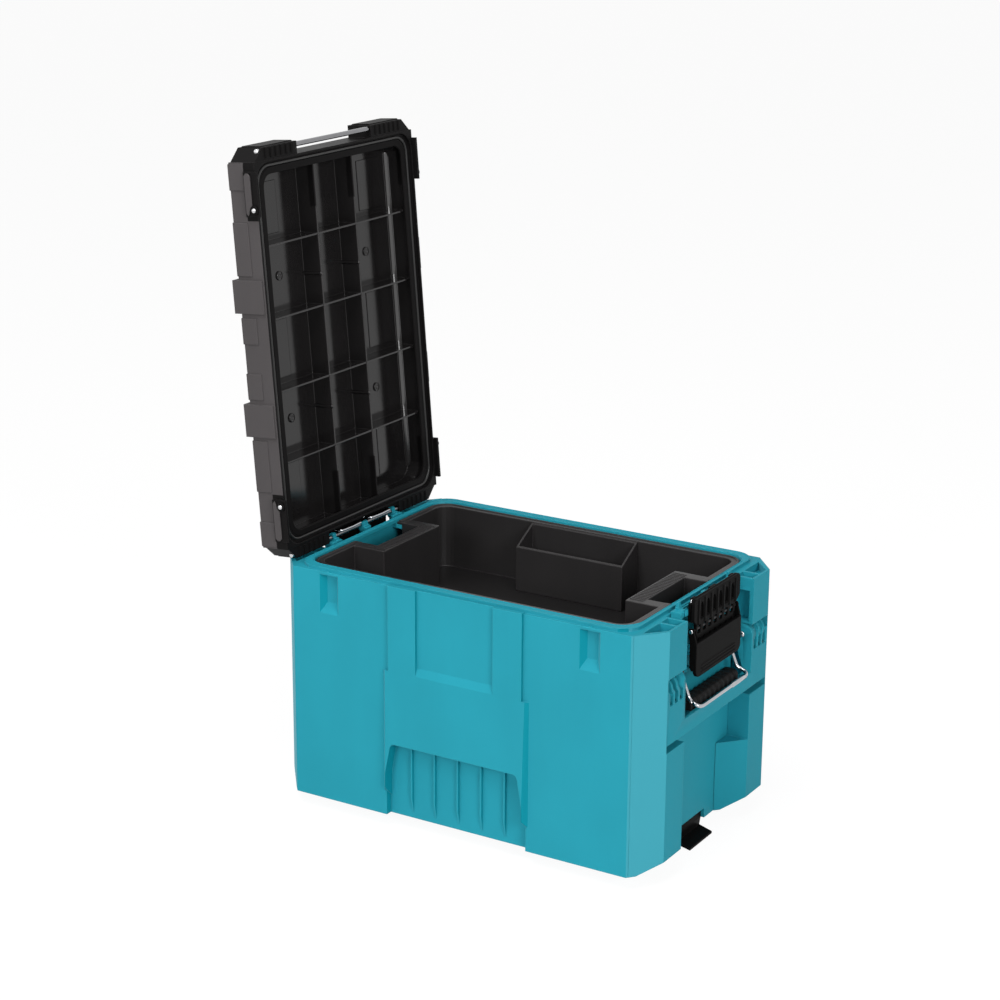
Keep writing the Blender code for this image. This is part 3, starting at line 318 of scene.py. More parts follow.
# what all the plastics share: noise sizes and how far they move the tone and the roughness
moulding = {
    "cloud": {"Scale": 7.0, "Detail": 4.0},
    "flowStretch": (9.0, 9.0, 2.2),
    "flow": {"Scale": 2.0, "Detail": 5.0, "Distortion": 0.8},
    "edgeSamples": 6,
    "wearHighlightGain": 1.6,
    "wearHighlightMost": 0.75,
    "wearHighlightPatches": (0.5, 0.6),
    "toneMove": 0.18,
    "roughMove": 0.10,
    "grainDetail": 2.0,
    "grainDistance": 0.0005,
    # how strongly the painted floor shade darkens deep floors
    "floorShadeShare": 0.7,
    # sharpness of the painted chamfer sheen, and the facing limit of the painted wall shade
    "chamferSheenPower": 4.0,
    "wallShadeFacing": 0.35,
}


def colourMix(share, first, second):
    return share.node("ShaderNodeMix", {"data_type": "RGBA"}, {0: share, 6: first, 7: second}, 2)


def axisOf(vector, axis):
    return vector.node("ShaderNodeSeparateXYZ", {}, {0: vector}, axis)


def dot(first, second):
    return first.node("ShaderNodeVectorMath", {"operation": "DOT_PRODUCT"}, {0: first, 1: second}, "Value")


def positive(value):
    return value.math("ABSOLUTE", value, 0.0)


def over(value, limit):
    return value.math("GREATER_THAN", value, limit)


def under(value, limit):
    return value.math("LESS_THAN", value, limit)


def either(first, second):
    return first.math("MAXIMUM", first, second)


# soft tone, flow marks and edges a little lighter where the moulding turns, as wear and as a painted edge
# highlight
def plasticLayers(place, spec):
    shared = moulding
    cloud = place.node("ShaderNodeTexNoise", {}, {"Vector": place, **shared["cloud"]})
    stretch = {0: place, 1: shared["flowStretch"]}
    stretched = place.node("ShaderNodeVectorMath", {"operation": "MULTIPLY"}, stretch)
    flow = place.node("ShaderNodeTexNoise", {}, {"Vector": stretched, **shared["flow"]})
    edge = place.node("ShaderNodeBevel", {"samples": shared["edgeSamples"]}, {"Radius": spec["edge"] * mm})
    flat = place.node("ShaderNodeNewGeometry", {}, {}, "Normal")
    patches = cloud * shared["wearHighlightPatches"][0] + shared["wearHighlightPatches"][1]
    wearAndHighlight = edge.math("MINIMUM", (1.0 - dot(edge, flat)) * shared["wearHighlightGain"], shared["wearHighlightMost"]) * patches
    tone = (cloud - 0.5) * shared["toneMove"] + (flow - 0.5) * spec["flow"] * 2.0 + 1.0
    plain = place.node("ShaderNodeVectorMath", {"operation": "SCALE"}, {0: spec["colour"], "Scale": tone})
    colour = colourMix(wearAndHighlight, plain, spec["wearAndHighlight"] + (1.0,))
    rough = (cloud - 0.5) * shared["roughMove"] + (flow - 0.5) * spec["flow"] + spec["rough"]
    return colour, rough, edge


def grainNormal(place, spec, edge):
    noise = {"Vector": place, "Scale": spec["grain"], "Detail": moulding["grainDetail"]}
    grain = place.node("ShaderNodeTexNoise", {}, noise)
    bump = {"Strength": spec["depth"], "Distance": moulding["grainDistance"]}
    return place.node("ShaderNodeBump", {}, {"Height": grain, "Normal": edge, **bump})


def newLook(name):
    look = bpy.data.materials.new(name)
    look.use_nodes = True
    return look, look.node_tree.nodes["Principled BSDF"], Sock(look.node_tree)


def mouldedPlastic(name, spec):
    look, shader, start = newLook(name)
    place = start.node("ShaderNodeTexCoord", {}, {}, "Object")
    colour, rough, edge = plasticLayers(place, spec)
    if "floorShadeBelow" in spec:  # painted shade: the floor of a deep moulding is darker than its walls
        floorShade = under(axisOf(place, "Z"), spec["floorShadeBelow"] * mm)
        colour = colourMix(floorShade * moulding["floorShadeShare"], colour, spec["floorShadeColour"] + (1.0,))
    if "chamferSheen" in spec:  # painted sheen: chamfered corners are paler; painted shade: the panels' side walls that face +x are deeper in tone
        facing = start.node("ShaderNodeTexCoord", {}, {}, "Normal")
        toEnd, toFront = axisOf(facing, "X"), axisOf(facing, "Y")
        along, across = positive(axisOf(place, "X")), positive(axisOf(place, "Y"))
        corner = place.math("POWER", positive(toEnd * toFront) * 2.0, moulding["chamferSheenPower"])
        corner = corner * over(across, spec["chamferSheenFrom"] * mm)
        colour = colourMix(corner, colour, spec["chamferSheen"] + (1.0,))
        # painted shade on the front and back panels' side walls that face +x
        wall = over(across, spec["wallShadeFrom"] * mm) * under(along, spec["wallShadeWithin"] * mm)
        wall = wall * over(toEnd, moulding["wallShadeFacing"])
        colour = colourMix(wall, colour, spec["wall"] + (1.0,))
    shader.inputs["Specular IOR Level"].default_value = spec["gloss"]
    start.feed(shader.inputs["Base Color"], colour)
    start.feed(shader.inputs["Roughness"], rough)
    start.feed(shader.inputs["Normal"], grainNormal(place, spec, edge))
    return look


# the lid shell is polished inside, matt on its rim and ends, and textured and greyer on its outer faces
lidFaces = {"side": 186.2, "roof": 394.2, "tabFrom": 186.0, "tabTop": 371.0, "rim": 361.0, "ends": 262.0}


def lidPlastic(name, inside, rim, outside, spec):
    look, shader, start = newLook(name)
    place = start.node("ShaderNodeTexCoord", {}, {}, "Object")
    away = place.node("ShaderNodeVectorMath", {"operation": "SUBTRACT"}, {0: place, 1: hingePoint})
    height = dot(away, (lidSpin @ Vector((0, 0, 1, 1))).to_3d()) + lidHinge["z"] * mm
    along = positive(dot(away, (lidSpin @ Vector((1, 0, 0, 1))).to_3d()) + lidHinge["x"] * mm)
    across = positive(axisOf(place, "Y"))
    behindTab = over(along, spec["tabFrom"] * mm) * under(height, spec["tabTop"] * mm)
    outer = over(across, spec["side"] * mm) * (1.0 - behindTab)
    outer = either(outer, over(height, spec["roof"] * mm))
    matt = either(under(height, spec["rim"] * mm), over(along, spec["ends"] * mm))
    matt = either(matt, either(outer, behindTab))
    colourIn, roughIn = plasticLayers(place, inside)[:2]
    colourRim, roughRim = plasticLayers(place, rim)[:2]
    colourOut, roughOut, edge = plasticLayers(place, outside)
    shader.inputs["Specular IOR Level"].default_value = inside["gloss"]
    start.feed(shader.inputs["Base Color"], colourIn)
    start.feed(shader.inputs["Roughness"], roughIn)
    start.feed(shader.inputs["Normal"], grainNormal(place, inside, edge))
    polished = Sock(look.node_tree, shader.outputs[0])
    sockets = {
        "Base Color": colourMix(outer, colourRim, colourOut),
        "Roughness": roughRim * (1.0 - outer) + roughOut * outer,
        "Normal": grainNormal(place, outside, edge),
        "Specular IOR Level": outside["gloss"],
    }
    matted = place.node("ShaderNodeBsdfPrincipled", {}, sockets)
    both = place.node("ShaderNodeMixShader", {}, {0: matt, 1: polished, 2: matted})
    start.feed(look.node_tree.nodes["Material Output"].inputs["Surface"], both)
    return look


# metals: colour, roughness and how fine the drawn scratches are
metals = {
    "platedSteel": {"colour": (0.62, 0.62, 0.63), "rough": 0.24, "scratch": 900.0},
    "rodSteel": {"colour": (0.24, 0.24, 0.25), "rough": 0.20, "scratch": 900.0},
    "darkSteel": {"colour": (0.045, 0.045, 0.047), "rough": 0.42, "scratch": 900.0},
    "chromedWire": {"colour": (0.45, 0.46, 0.48), "rough": 0.11, "scratch": 700.0},
}
polish = {
    "cloud": {"Scale": 60.0, "Detail": 4.0},
    "drawn": (1.0, 0.04, 1.0),
    "scratchDetail": 3.0,
    "tone": (0.25, 0.86),
    "roughByCloud": 0.12,
    "roughByScratch": 0.10,
    "bump": {"Strength": 0.05, "Distance": 0.0002},
}


def brightMetal(name, spec):
    look, shader, start = newLook(name)
    shader.inputs["Metallic"].default_value = 1.0
    place = start.node("ShaderNodeTexCoord", {}, {}, "Object")
    cloud = place.node("ShaderNodeTexNoise", {}, {"Vector": place, **polish["cloud"]})
    drawn = place.node("ShaderNodeVectorMath", {"operation": "MULTIPLY"}, {0: place, 1: polish["drawn"]})
    noise = {"Vector": drawn, "Scale": spec["scratch"], "Detail": polish["scratchDetail"]}
    scratch = place.node("ShaderNodeTexNoise", {}, noise)
    tone = cloud * polish["tone"][0] + polish["tone"][1]
    tinted = place.node("ShaderNodeVectorMath", {"operation": "SCALE"}, {0: spec["colour"], "Scale": tone})
    rough = (cloud - 0.5) * polish["roughByCloud"] + (scratch - 0.5) * polish["roughByScratch"]
    start.feed(shader.inputs["Base Color"], tinted)
    start.feed(shader.inputs["Roughness"], rough + spec["rough"])
    bump = place.node("ShaderNodeBump", {}, {"Height": scratch, **polish["bump"]})
    start.feed(shader.inputs["Normal"], bump)
    return look


looks = {name: mouldedPlastic(name, spec) for name, spec in finishes.items()}
looks.update({name: brightMetal(name, spec) for name, spec in metals.items()})
lidFinishes = [finishes[key] for key in ("lidInside", "lidRimBlack", "lidOutside")]
looks["lidShell"] = lidPlastic("lidShell", *lidFinishes, lidFaces)

# finishes of the nodes, by the start of their names
nodeLooks = {
    "case_body": "tealShell",
    "corner_post": "tealShell",
    "latch_bracket": "tealShell",
    "handle_grip": "gripRubber",
    "handle_pin": "platedSteel",
    "handle": "tealShell",
    "liner_tray": "trayBlack",
    "side_pocket": "trayBlack",
    "lid_shell": "lidShell",
    "lid_seal": "sealRubber",
    "lid_rod": "rodSteel",
    "tab_pin": "platedSteel",
    "claw_pin": "platedSteel",
    "lever_pin": "darkSteel",
    "claw": "latchBlack",
    "lever": "latchBlack",
    "stacking_hook": "latchBlack",
    "hook_wire": "chromedWire",
    "bail": "chromedWire",
}
for name, node in nodes.items():
    chosen = max((key for key in nodeLooks if name.startswith(key)), key=len)
    node.data.materials.clear()
    node.data.materials.append(looks[nodeLooks[chosen]])
print("finishes on", len(nodes), "nodes")


# shapes are lists of points and faces in millimetres
def ringStack(rings, closed=False):
    count = len(rings[0])
    points = [p for ring in rings for p in ring]
    faces = []
    last = len(rings) if closed else len(rings) - 1
    for k in range(last):
        n = (k + 1) % len(rings)
        for i in range(count):
            j = (i + 1) % count
            faces.append((k * count + i, k * count + j, n * count + j, n * count + i))
    if not closed:
        faces.append(tuple(range(count)))
        faces.append(tuple(range(len(points) - count, len(points))))
    return points, faces


def prism(outline, axis, low, high):
    place = {
        "x": lambda u, v, w: (w, u, v),
        "y": lambda u, v, w: (u, w, v),
        "z": lambda u, v, w: (u, v, w),
    }[axis]
    return ringStack([[place(u, v, w) for u, v in outline] for w in (low, high)])


def block(x, y, z):
    return prism([(x[0], y[0]), (x[1], y[0]), (x[1], y[1]), (x[0], y[1])], "z", z[0], z[1])


def lathe(profile, centre, axis, steps=24):
    rings = []
    for r, h in profile:
        ring = []
        for i in range(steps):
            t = 2 * math.pi * i / steps
            u, v = r * math.cos(t), r * math.sin(t)
            offset = {"x": (h, u, v), "y": (u, h, v), "z": (u, v, h)}[axis]
            ring.append(tuple(c + o for c, o in zip(centre, offset)))
        rings.append(ring)
    return ringStack(rings)


def dome(radius, height, foot, direction, steps=5):
    tip = 0.06 * radius
    profile = [(radius, -foot), (radius, 0.0)]
    for i in range(1, steps + 1):
        t = math.radians(90 * i / steps)
        profile.append((max(radius * math.cos(t), tip), height * math.sin(t)))
    return [(r, direction * h) for r, h in profile]


def roundedPath(halfX, halfY, radius, steps=8):
    path = []
    for sx, sy, start in ((1, 1, 0), (-1, 1, 90), (-1, -1, 180), (1, -1, 270)):
        for i in range(steps + 1):
            t = math.radians(start + 90 * i / steps)
            n = (math.cos(t), math.sin(t))
            path.append(((sx * (halfX - radius) + radius * n[0], sy * (halfY - radius) + radius * n[1]), n))
    return path


def sweep(path, profile, z, closed=True):
    rings = [[(p[0] + n[0] * u, p[1] + n[1] * u, z + v) for u, v in profile] for p, n in path]
    return ringStack(rings, closed)


def bead(start, width, height, sunk=0.4, steps=7):
    top = []
    for i in range(steps + 1):
        t = math.pi * i / steps
        top.append((start + width / 2 - width / 2 * math.cos(t), height * math.sin(t)))
    return [(start, -sunk)] + top + [(start + width, -sunk)]


def bentPath(points, radius, steps=6):
    path = [Vector(points[0])]
    for before, corner, after in zip(points, points[1:], points[2:]):
        corner = Vector(corner)
        into = (Vector(before) - corner).normalized()
        out = (Vector(after) - corner).normalized()
        reach = radius / math.tan(into.angle(out) / 2)
        start, end = corner + into * reach, corner + out * reach
        for i in range(steps + 1):
            t = i / steps
            path.append(start * (1 - t) ** 2 + corner * 2 * t * (1 - t) + end * t * t)
    path.append(Vector(points[-1]))
    return path


def wire(path, radius, count=12):
    runs = [(b - a).normalized() for a, b in zip(path, path[1:])]
    across = runs[0].orthogonal().normalized()
    rings = []
    for i, place in enumerate(path):
        before = runs[max(i - 1, 0)]
        after = runs[min(i, len(runs) - 1)]
        along = (before + after).normalized()
        across = (across - along * across.dot(along)).normalized()
        over = along.cross(across)
        turns = [2 * math.pi * k / count for k in range(count)]
        rings.append([tuple(place + (across * math.cos(t) + over * math.sin(t)) * radius) for t in turns])
    return ringStack(rings)


def flipped(shapes, s):
    return [([(s * x, y, z) for x, y, z in points], faces) for points, faces in shapes]


def span(t, values):
    return sorted(t * v for v in values)


# one piece from closed shapes, on its body, with softened edges
softEdge = {"smoothUnder": 38, "roundOver": 40, "segments": 2}


def meshOf(name, shapes, turn=None):
    work = bmesh.new()
    for points, faces in shapes:
        made = [work.verts.new(Vector(p) * mm) for p in points]
        for face in faces:
            work.faces.new([made[i] for i in face])
    bmesh.ops.recalc_face_normals(work, faces=work.faces)
    if turn is not None:
        bmesh.ops.transform(work, matrix=turn, verts=work.verts)
    mesh = bpy.data.meshes.new(name)
    work.to_mesh(mesh)
    work.free()
    return mesh


def dressed(name, mesh, look, body, fillet=0.0, stands=()):
    mesh.shade_smooth()
    mesh.set_sharp_from_angle(angle=math.radians(softEdge["smoothUnder"]))
    mesh.materials.clear()
    mesh.materials.append(looks[look])
    piece = bpy.data.objects.new(name, mesh)
    bpy.context.scene.collection.objects.link(piece)
    if fillet:
        soft = piece.modifiers.new("softEdges", "BEVEL")
        soft.width = fillet * mm
        soft.segments = softEdge["segments"]
        soft.limit_method = "ANGLE"
        soft.angle_limit = math.radians(softEdge["roundOver"])
        soft.harden_normals = True
    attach(piece, body)
    if stands:
        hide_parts(*stands)
    return piece


def addPiece(name, shapes, look, body, turn=None, fillet=0.0, stands=()):
    return dressed(name, meshOf(name, shapes, turn), look, body, fillet, stands)


# rim of the case: two slim beads and the small shelves above the face pockets
caseRim = {
    "top": 356.0,
    "outer": (259.0, 183.0, 30.0),
    "inner": (252.0, 170.0, 30.0),
    "outerBead": (-1.35, 1.35, 0.85),
    "innerBead": (0.15, 1.5, 0.85),
    "shelfAt": 202.0,
    "shelfHalf": 17.5,
    "shelfY": (182.0, 187.2),
    "shelfCut": (3.0, 1.6),
    "shelfZ": (349.2, 352.4),
    "eyeY": 184.4,
    "eyeProfile": [(2.6, -1.0), (2.6, 0.9), (1.7, 1.2), (0.8, 0.3), (0.8, -1.0)],
}


def makeCaseRim(spec):
    shapes = []
    for ring, shape in (("outer", "outerBead"), ("inner", "innerBead")):
        shapes.append(sweep(roundedPath(*spec[ring]), bead(*spec[shape]), spec["top"]))
    addPiece("rimBeads", shapes, "tealShell", "case")
    shelves = []
    near, far = spec["shelfY"]
    cutX, cutY = spec["shelfCut"]
    for s in sides:
        for t in sides:
            x = s * spec["shelfAt"]
            low, high = x - spec["shelfHalf"], x + spec["shelfHalf"]
            outline = [
                (low, t * near),
                (low, t * (far - cutY)),
                (low + cutX, t * far),
                (high - cutX, t * far),
                (high, t * (far - cutY)),
                (high, t * near),
            ]
            shelves.append(prism(outline, "z", *spec["shelfZ"]))
            shelves.append(lathe(spec["eyeProfile"], (x, t * spec["eyeY"], spec["shelfZ"][1]), "z", 20))
    addPiece("pocketShelves", shelves, "tealShell", "case", fillet=0.5)


makeCaseRim(caseRim)
print("case rim beaded")

# shallow backs in the pockets of the corner posts, let into the pockets' walls
postPockets = {"x": (265.5, 289.5), "y": (110.5, 112.5), "z": (289.5, 334.5)}


def makePostPockets(spec):
    backs = []
    for s in sides:
        for t in sides:
            backs.append(block(span(s, spec["x"]), span(t, spec["y"]), spec["z"]))
    addPiece("postPocketBacks", backs, "tealShell", "case")


makePostPockets(postPockets)
print("post pockets backed")

# tray: rolled rim along the flange and ribbed strips where the fingers hold it
trayTrim = {
    "rim": (250.0, 168.0, 28.0),
    "rimZ": 353.0,
    "rimBead": (-4.2, 4.2, 1.5),
    "rimStop": 57.0,
    "stripX": (192.0, 211.5),
    "stripZ": 352.5,
    "stripHalf": 62.0,
    "ridges": 23,
    "ridgeWide": 2.7,
    "ridgeTall": 0.9,
    "ridgeSunk": 0.4,
    "ridgeTaper": 0.55,
}


def makeTrayTrim(spec):
    path = roundedPath(*spec["rim"])
    shapes = []
    for t in sides:  # a rim on each long side, which stops at the finger holes
        run = [(p, n) for p, n in path if t * p[1] > spec["rimStop"]]
        way = math.copysign(1, run[0][0][0])
        first, last = (((d * spec["rim"][0], t * spec["rimStop"]), (d, 0.0)) for d in (way, -way))
        run = [first] + run + [last]
        shapes.append(sweep(run, bead(*spec["rimBead"]), spec["rimZ"], closed=False))
    addPiece("trayRolledRim", shapes, "trayBlack", "tray")
    strips = []
    step = 2 * spec["stripHalf"] / (spec["ridges"] - 1)
    wide = spec["ridgeWide"] / 2
    crest = spec["ridgeTaper"] * wide
    foot, top = spec["stripZ"] - spec["ridgeSunk"], spec["stripZ"] + spec["ridgeTall"]
    for i in range(spec["ridges"]):
        y = -spec["stripHalf"] + i * step
        ridge = [(y - wide, foot), (y - crest, top), (y + crest, top), (y + wide, foot)]
        strips.append(prism(ridge, "x", *spec["stripX"]))
    for s in sides:
        name = "gripStrip_" + endNames[s]
        addPiece(name, flipped(strips, s), "trayBlack", "tray", fillet=0.3)


makeTrayTrim(trayTrim)
print("tray trimmed")

# lid rim: inner lip and a rounded seal in its groove
lidRim = {
    "lip": (250.0, 170.0, 24.0),
    "lipZ": 358.0,
    "lipProfile": [(-6.5, 2.4), (-6.5, 0.2), (-5.4, -0.9), (2.0, -0.9), (3.0, 0.0), (3.0, 0.6)],
    "outerLip": (260.5, 184.5, 28.0),
    "outerLipBead": (-1.6, 1.6, -0.9, -0.4),
    "seal": (257.5, 178.5, 26.7),
    "sealWide": 4.0,
    "sealZ": (356.3, 360.2),
    "sealBulge": 1.6,
}


def makeLidRim(spec):
    shapes = [sweep(roundedPath(*spec["lip"]), spec["lipProfile"], spec["lipZ"])]
    shapes.append(sweep(roundedPath(*spec["outerLip"]), bead(*spec["outerLipBead"]), spec["lipZ"]))
    addPiece("lidLips", shapes, "lidRimBlack", "lid", lidTurn)
    low, high = spec["sealZ"]
    half, bulge = spec["sealWide"] / 2, spec["sealBulge"]
    profile = [(-2 * half, high - low), (-2 * half, bulge)]
    for i in range(7):
        t = math.radians(180 + 30 * i)
        profile.append((half * math.cos(t) - half, bulge + bulge * math.sin(t)))
    profile += [(0.0, bulge), (0.0, high - low)]
    ring = sweep(roundedPath(*spec["seal"]), profile, low)
    addPiece("sealBulb", [ring], "sealRubber", "lid", lidTurn, stands=("lid_seal",))


makeLidRim(lidRim)
print("lid rim sealed")

# inside of the lid: bosses on the ribs and the roof, coves along the side walls, and pads on the roof
lidInside = {
    "roof": 391.0,
    "ribY": 45.6,
    "ribEdge": 361.6,
    "ribBossX": 93.5,
    "ribBossProfile": [(0.2, -1.2), (1.8, -1.0), (3.0, 0.2), (3.0, 29.9)],
    "crossX": (-148.5, -49.5, 49.5, 148.5),
    "crossProfile": [(0.2, -0.3), (1.5, 0.0), (1.9, 0.8), (1.9, 29.0)],
    "bossX": 99.0,
    "bossY": 104.0,
    "bossProfile": [(6.6, 0.5), (6.4, -1.5), (5.6, -2.0), (2.8, -2.0), (2.3, -1.1), (0.2, -1.1)],
    "wallY": 170.0,
    "wallEnd": 232.0,
    "cove": 7.5,
    "coveSunk": (0.5, 0.2),
    "padEnd": 238.0,
    "padGap": 9.0,
    "padY": (96.0, 152.0),
    "padZ": (-0.9, 0.3),
}


def makeLidInside(spec):
    roof, rib = spec["roof"], spec["ribEdge"]
    shapes = []
    for sx in sides:
        for sy in sides:
            onRib = (sx * spec["ribBossX"], sy * spec["ribY"], rib)
            onRoof = (sx * spec["bossX"], sy * spec["bossY"], roof)
            shapes.append(lathe(spec["ribBossProfile"], onRib, "z", 16))
            shapes.append(lathe(spec["bossProfile"], onRoof, "z", 24))
    for x in spec["crossX"]:
        for sy in sides:
            shapes.append(lathe(spec["crossProfile"], (x, sy * spec["ribY"], rib), "z", 14))
    addPiece("lidBosses", shapes, "lidInside", "lid", lidTurn)
    coves = []
    size = spec["cove"]
    behind, sunk = spec["coveSunk"]
    for sy in sides:
        hollow = [(sy * (spec["wallY"] + behind), roof + behind)]
        for i in range(7):
            t = math.radians(15 * i)
            y = spec["wallY"] + sunk - size + size * math.sin(t)
            hollow.append((sy * y, roof + sunk - size + size * math.cos(t)))
        coves.append(prism(hollow, "x", -spec["wallEnd"], spec["wallEnd"]))
    addPiece("lidCoves", coves, "lidPolished", "lid", lidTurn)
    pads = []
    edges = (-spec["padEnd"],) + spec["crossX"] + (spec["padEnd"],)
    for low, high in zip(edges, edges[1:]):
        if abs(low + high) / 2 == spec["bossX"]:  # the roof's bosses stand in these bays
            continue
        for sy in sides:
            z = [roof + v for v in spec["padZ"]]
            pads.append(block((low + spec["padGap"], high - spec["padGap"]), span(sy, spec["padY"]), z))
    addPiece("lidRoofPads", pads, "lidInside", "lid", lidTurn, fillet=0.6)


makeLidInside(lidInside)
print("lid inside detailed")

# outside of the lid: stepped side panels, hooked tabs, serrated end blocks and rod ends
lidOutside = {
    "panels": [(20.0, 56.0), (112.0, 184.0), (226.0, 261.0)],
    "panelY": (184.0, 188.5),
    "panelZ": (371.0, 396.2),
    "tabY": (191.0, 193.2),
    "tabCorners": [(204.5, 360.0), (207.0, 357.5), (246.0, 357.5), (249.5, 361.0)],
    "tabTop": [(249.5, 364.6), (246.0, 367.6), (197.0, 367.6), (193.5, 364.6)],
    "pin": (201.0, 354.5),
    "pinBoss": [(6.2, -1.0), (6.2, 0.9), (5.2, 1.5), (3.4, 1.5), (0.4, 1.5)],
    "pinBossY": 192.8,
    "pinHead": (3.3, 1.8, 1.2),
    "pinHeadY": 194.0,
    "rod": (275.0, 360.0),
    "rodHead": (3.5, 1.6, 7.0),
    "rodHeadY": 171.0,
    "toothX": (265.5, 279.2),
    "toothZ": (353.2, 355.6),
    "toothHalf": (2.6, 1.8),
    "toothFirst": 100.0,
    "toothPitch": 11.5,
    "teeth": 6,
    "lipY": (92.0, 163.0),
    "lip": [(279.4, 358.0), (281.6, 360.0), (281.6, 389.0), (279.4, 391.0)],
}


def makeLidOutside(spec):
    panels, tabs, bosses, heads, teeth = [], [], [], [], []
    pinX, pinZ = spec["pin"]
    rodX, rodZ = spec["rod"]
    tip, root = spec["toothZ"]
    wide, narrow = spec["toothHalf"]
    for s in sides:
        for t in sides:
            for part in spec["panels"]:
                panels.append(block(span(s, part), span(t, spec["panelY"]), spec["panelZ"]))
            tab = spec["tabCorners"] + spec["tabTop"]
            tabs += flipped([prism(tab, "y", *span(t, spec["tabY"]))], s)
            boss = [(r, t * h) for r, h in spec["pinBoss"]]
            bosses.append(lathe(boss, (s * pinX, t * spec["pinBossY"], pinZ), "y", 20))
            heads.append(lathe(dome(*spec["pinHead"], t), (s * pinX, t * spec["pinHeadY"], pinZ), "y", 20))
            heads.append(lathe(dome(*spec["rodHead"], t), (s * rodX, t * spec["rodHeadY"], rodZ), "y", 20))
            for i in range(spec["teeth"]):
                y = t * (spec["toothFirst"] + i * spec["toothPitch"])
                tooth = [(y - wide, root), (y - narrow, tip), (y + narrow, tip), (y + wide, root)]
                teeth += flipped([prism(tooth, "x", *spec["toothX"])], s)
            teeth += flipped([prism(spec["lip"], "y", *span(t, spec["lipY"]))], s)
    addPiece("lidSidePanels", panels, "lidOutside", "lid", lidTurn, fillet=0.9)
    addPiece("tabPlates", tabs, "lidOutside", "lid", lidTurn, fillet=0.5)
    addPiece("tabBosses", bosses, "lidRimBlack", "lid", lidTurn)
    addPiece("lidPinHeads", heads, "platedSteel", "lid", lidTurn)
    addPiece("blockTeeth", teeth, "lidRimBlack", "lid", lidTurn, fillet=0.5)


# top of the lid: stacking rails and low pads
lidTop = {
    "roof": 394.6,
    "railY": (116.0, 146.0),
    "railHalf": 228.0,
    "railCut": 6.0,
    "railRise": 397.2,
    "pads": (-176.0, -88.0, 0.0, 88.0, 176.0),
    "padHalf": (32.0, 84.0),
    "padRise": 396.4,
}


def makeLidTop(spec):
    shapes = []
    x, cut = spec["railHalf"], spec["railCut"]
    for t in sides:
        y0, y1 = span(t, spec["railY"])
        rail = [(-x, y0 + cut), (cut - x, y0), (x - cut, y0), (x, y0 + cut)]
        rail += [(x, y1 - cut), (x - cut, y1), (cut - x, y1), (-x, y1 - cut)]
        shapes.append(prism(rail, "z", spec["roof"], spec["railRise"]))
    halfX, halfY = spec["padHalf"]
    padZ = (spec["roof"], spec["padRise"])
    for middle in spec["pads"]:
        shapes.append(block((middle - halfX, middle + halfX), (-halfY, halfY), padZ))
    addPiece("lidTopRails", shapes, "lidOutside", "lid", lidTurn, fillet=0.9)


makeLidTop(lidTop)
makeLidOutside(lidOutside)
print("lid outside detailed")

# claw: a louvred head over rows of windows, on its pin, with barrels for the wire hooks
claw = {
    "backX": (282.8, 285.0),
    "midX": (282.8, 287.0),
    "noseX": (284.5, 289.7),
    "half": 67.5,
    "headRound": 7.0,
    "headCut": 4.0,
    "stripWide": 9.0,
    "stripFoot": 8.5,
    "flangeX": 279.5,
    "flangeWide": 2.4,
    "neck": 57.0,
    "neckWide": 4.0,
    "waist": 51.5,
    "top": 370.0,
    "shoulder": 341.0,
    "ribs": 7,
    "ribPitch": 18.0,
    "ribHalf": 3.9,
    "ribCut": 1.4,
    "ribTop": 3.5,
    "slotTop": 361.5,
    "slotFoot": 338.0,
    "slotBar": 9.5,
    "archDrop": 6.5,
    "archTip": 0.6,
    "windows": 7,
    "windowPitch": 16.0,
    "rows": [(330.5, 319.0, 4.2), (312.5, 305.5, 2.7)],
    "foot": 296.0,
    "pivot": (281.6, 297.0),
    "pivotRound": (1.9, 4.6, 5.0),
    "hookAxis": (280.8, 366.5),
    "barrels": [(-60.0, -51.5), (-8.0, 8.0), (51.5, 60.0)],
    "barrelRound": (1.2, 2.6, 3.1),
}


# a barrel with a bore and rounded rims, between two points of its axis
def barrel(rounds, low, high, rim):
    bore, edge, outer = rounds
    near = [(bore, low), (edge, low), (outer, low + rim)]
    return near + [(outer, high - rim), (edge, high), (bore, high)]


def clawHead(spec):
    half, top, shoulder, r = spec["half"], spec["top"], spec["shoulder"], spec["headRound"]
    noseLow, noseHigh = spec["noseX"]
    turns = [math.radians(22.5 * i) for i in range(5)]
    curve = [(half - r + r * math.sin(a), top - r + r * math.cos(a)) for a in turns]
    head = curve + [(half, shoulder), (half - spec["headCut"], shoulder - spec["headCut"])]
    shapes = [prism(head + [(-y, z) for y, z in head[::-1]], "x", *spec["backX"])]
    inner = half - spec["stripWide"]
    strip = curve[1:] + [(half, shoulder - 1), (inner, shoulder - spec["stripFoot"]), (inner, top - 1.0)]
    for t in sides:
        shapes.append(prism([(t * y, z) for y, z in strip], "x", noseLow, noseHigh - 0.8))
        flange = span(t, (half - spec["flangeWide"], half))
        shapes.append(block((spec["flangeX"], noseLow + 1), flange, (shoulder - 3, top - r + 1)))
    return shapes


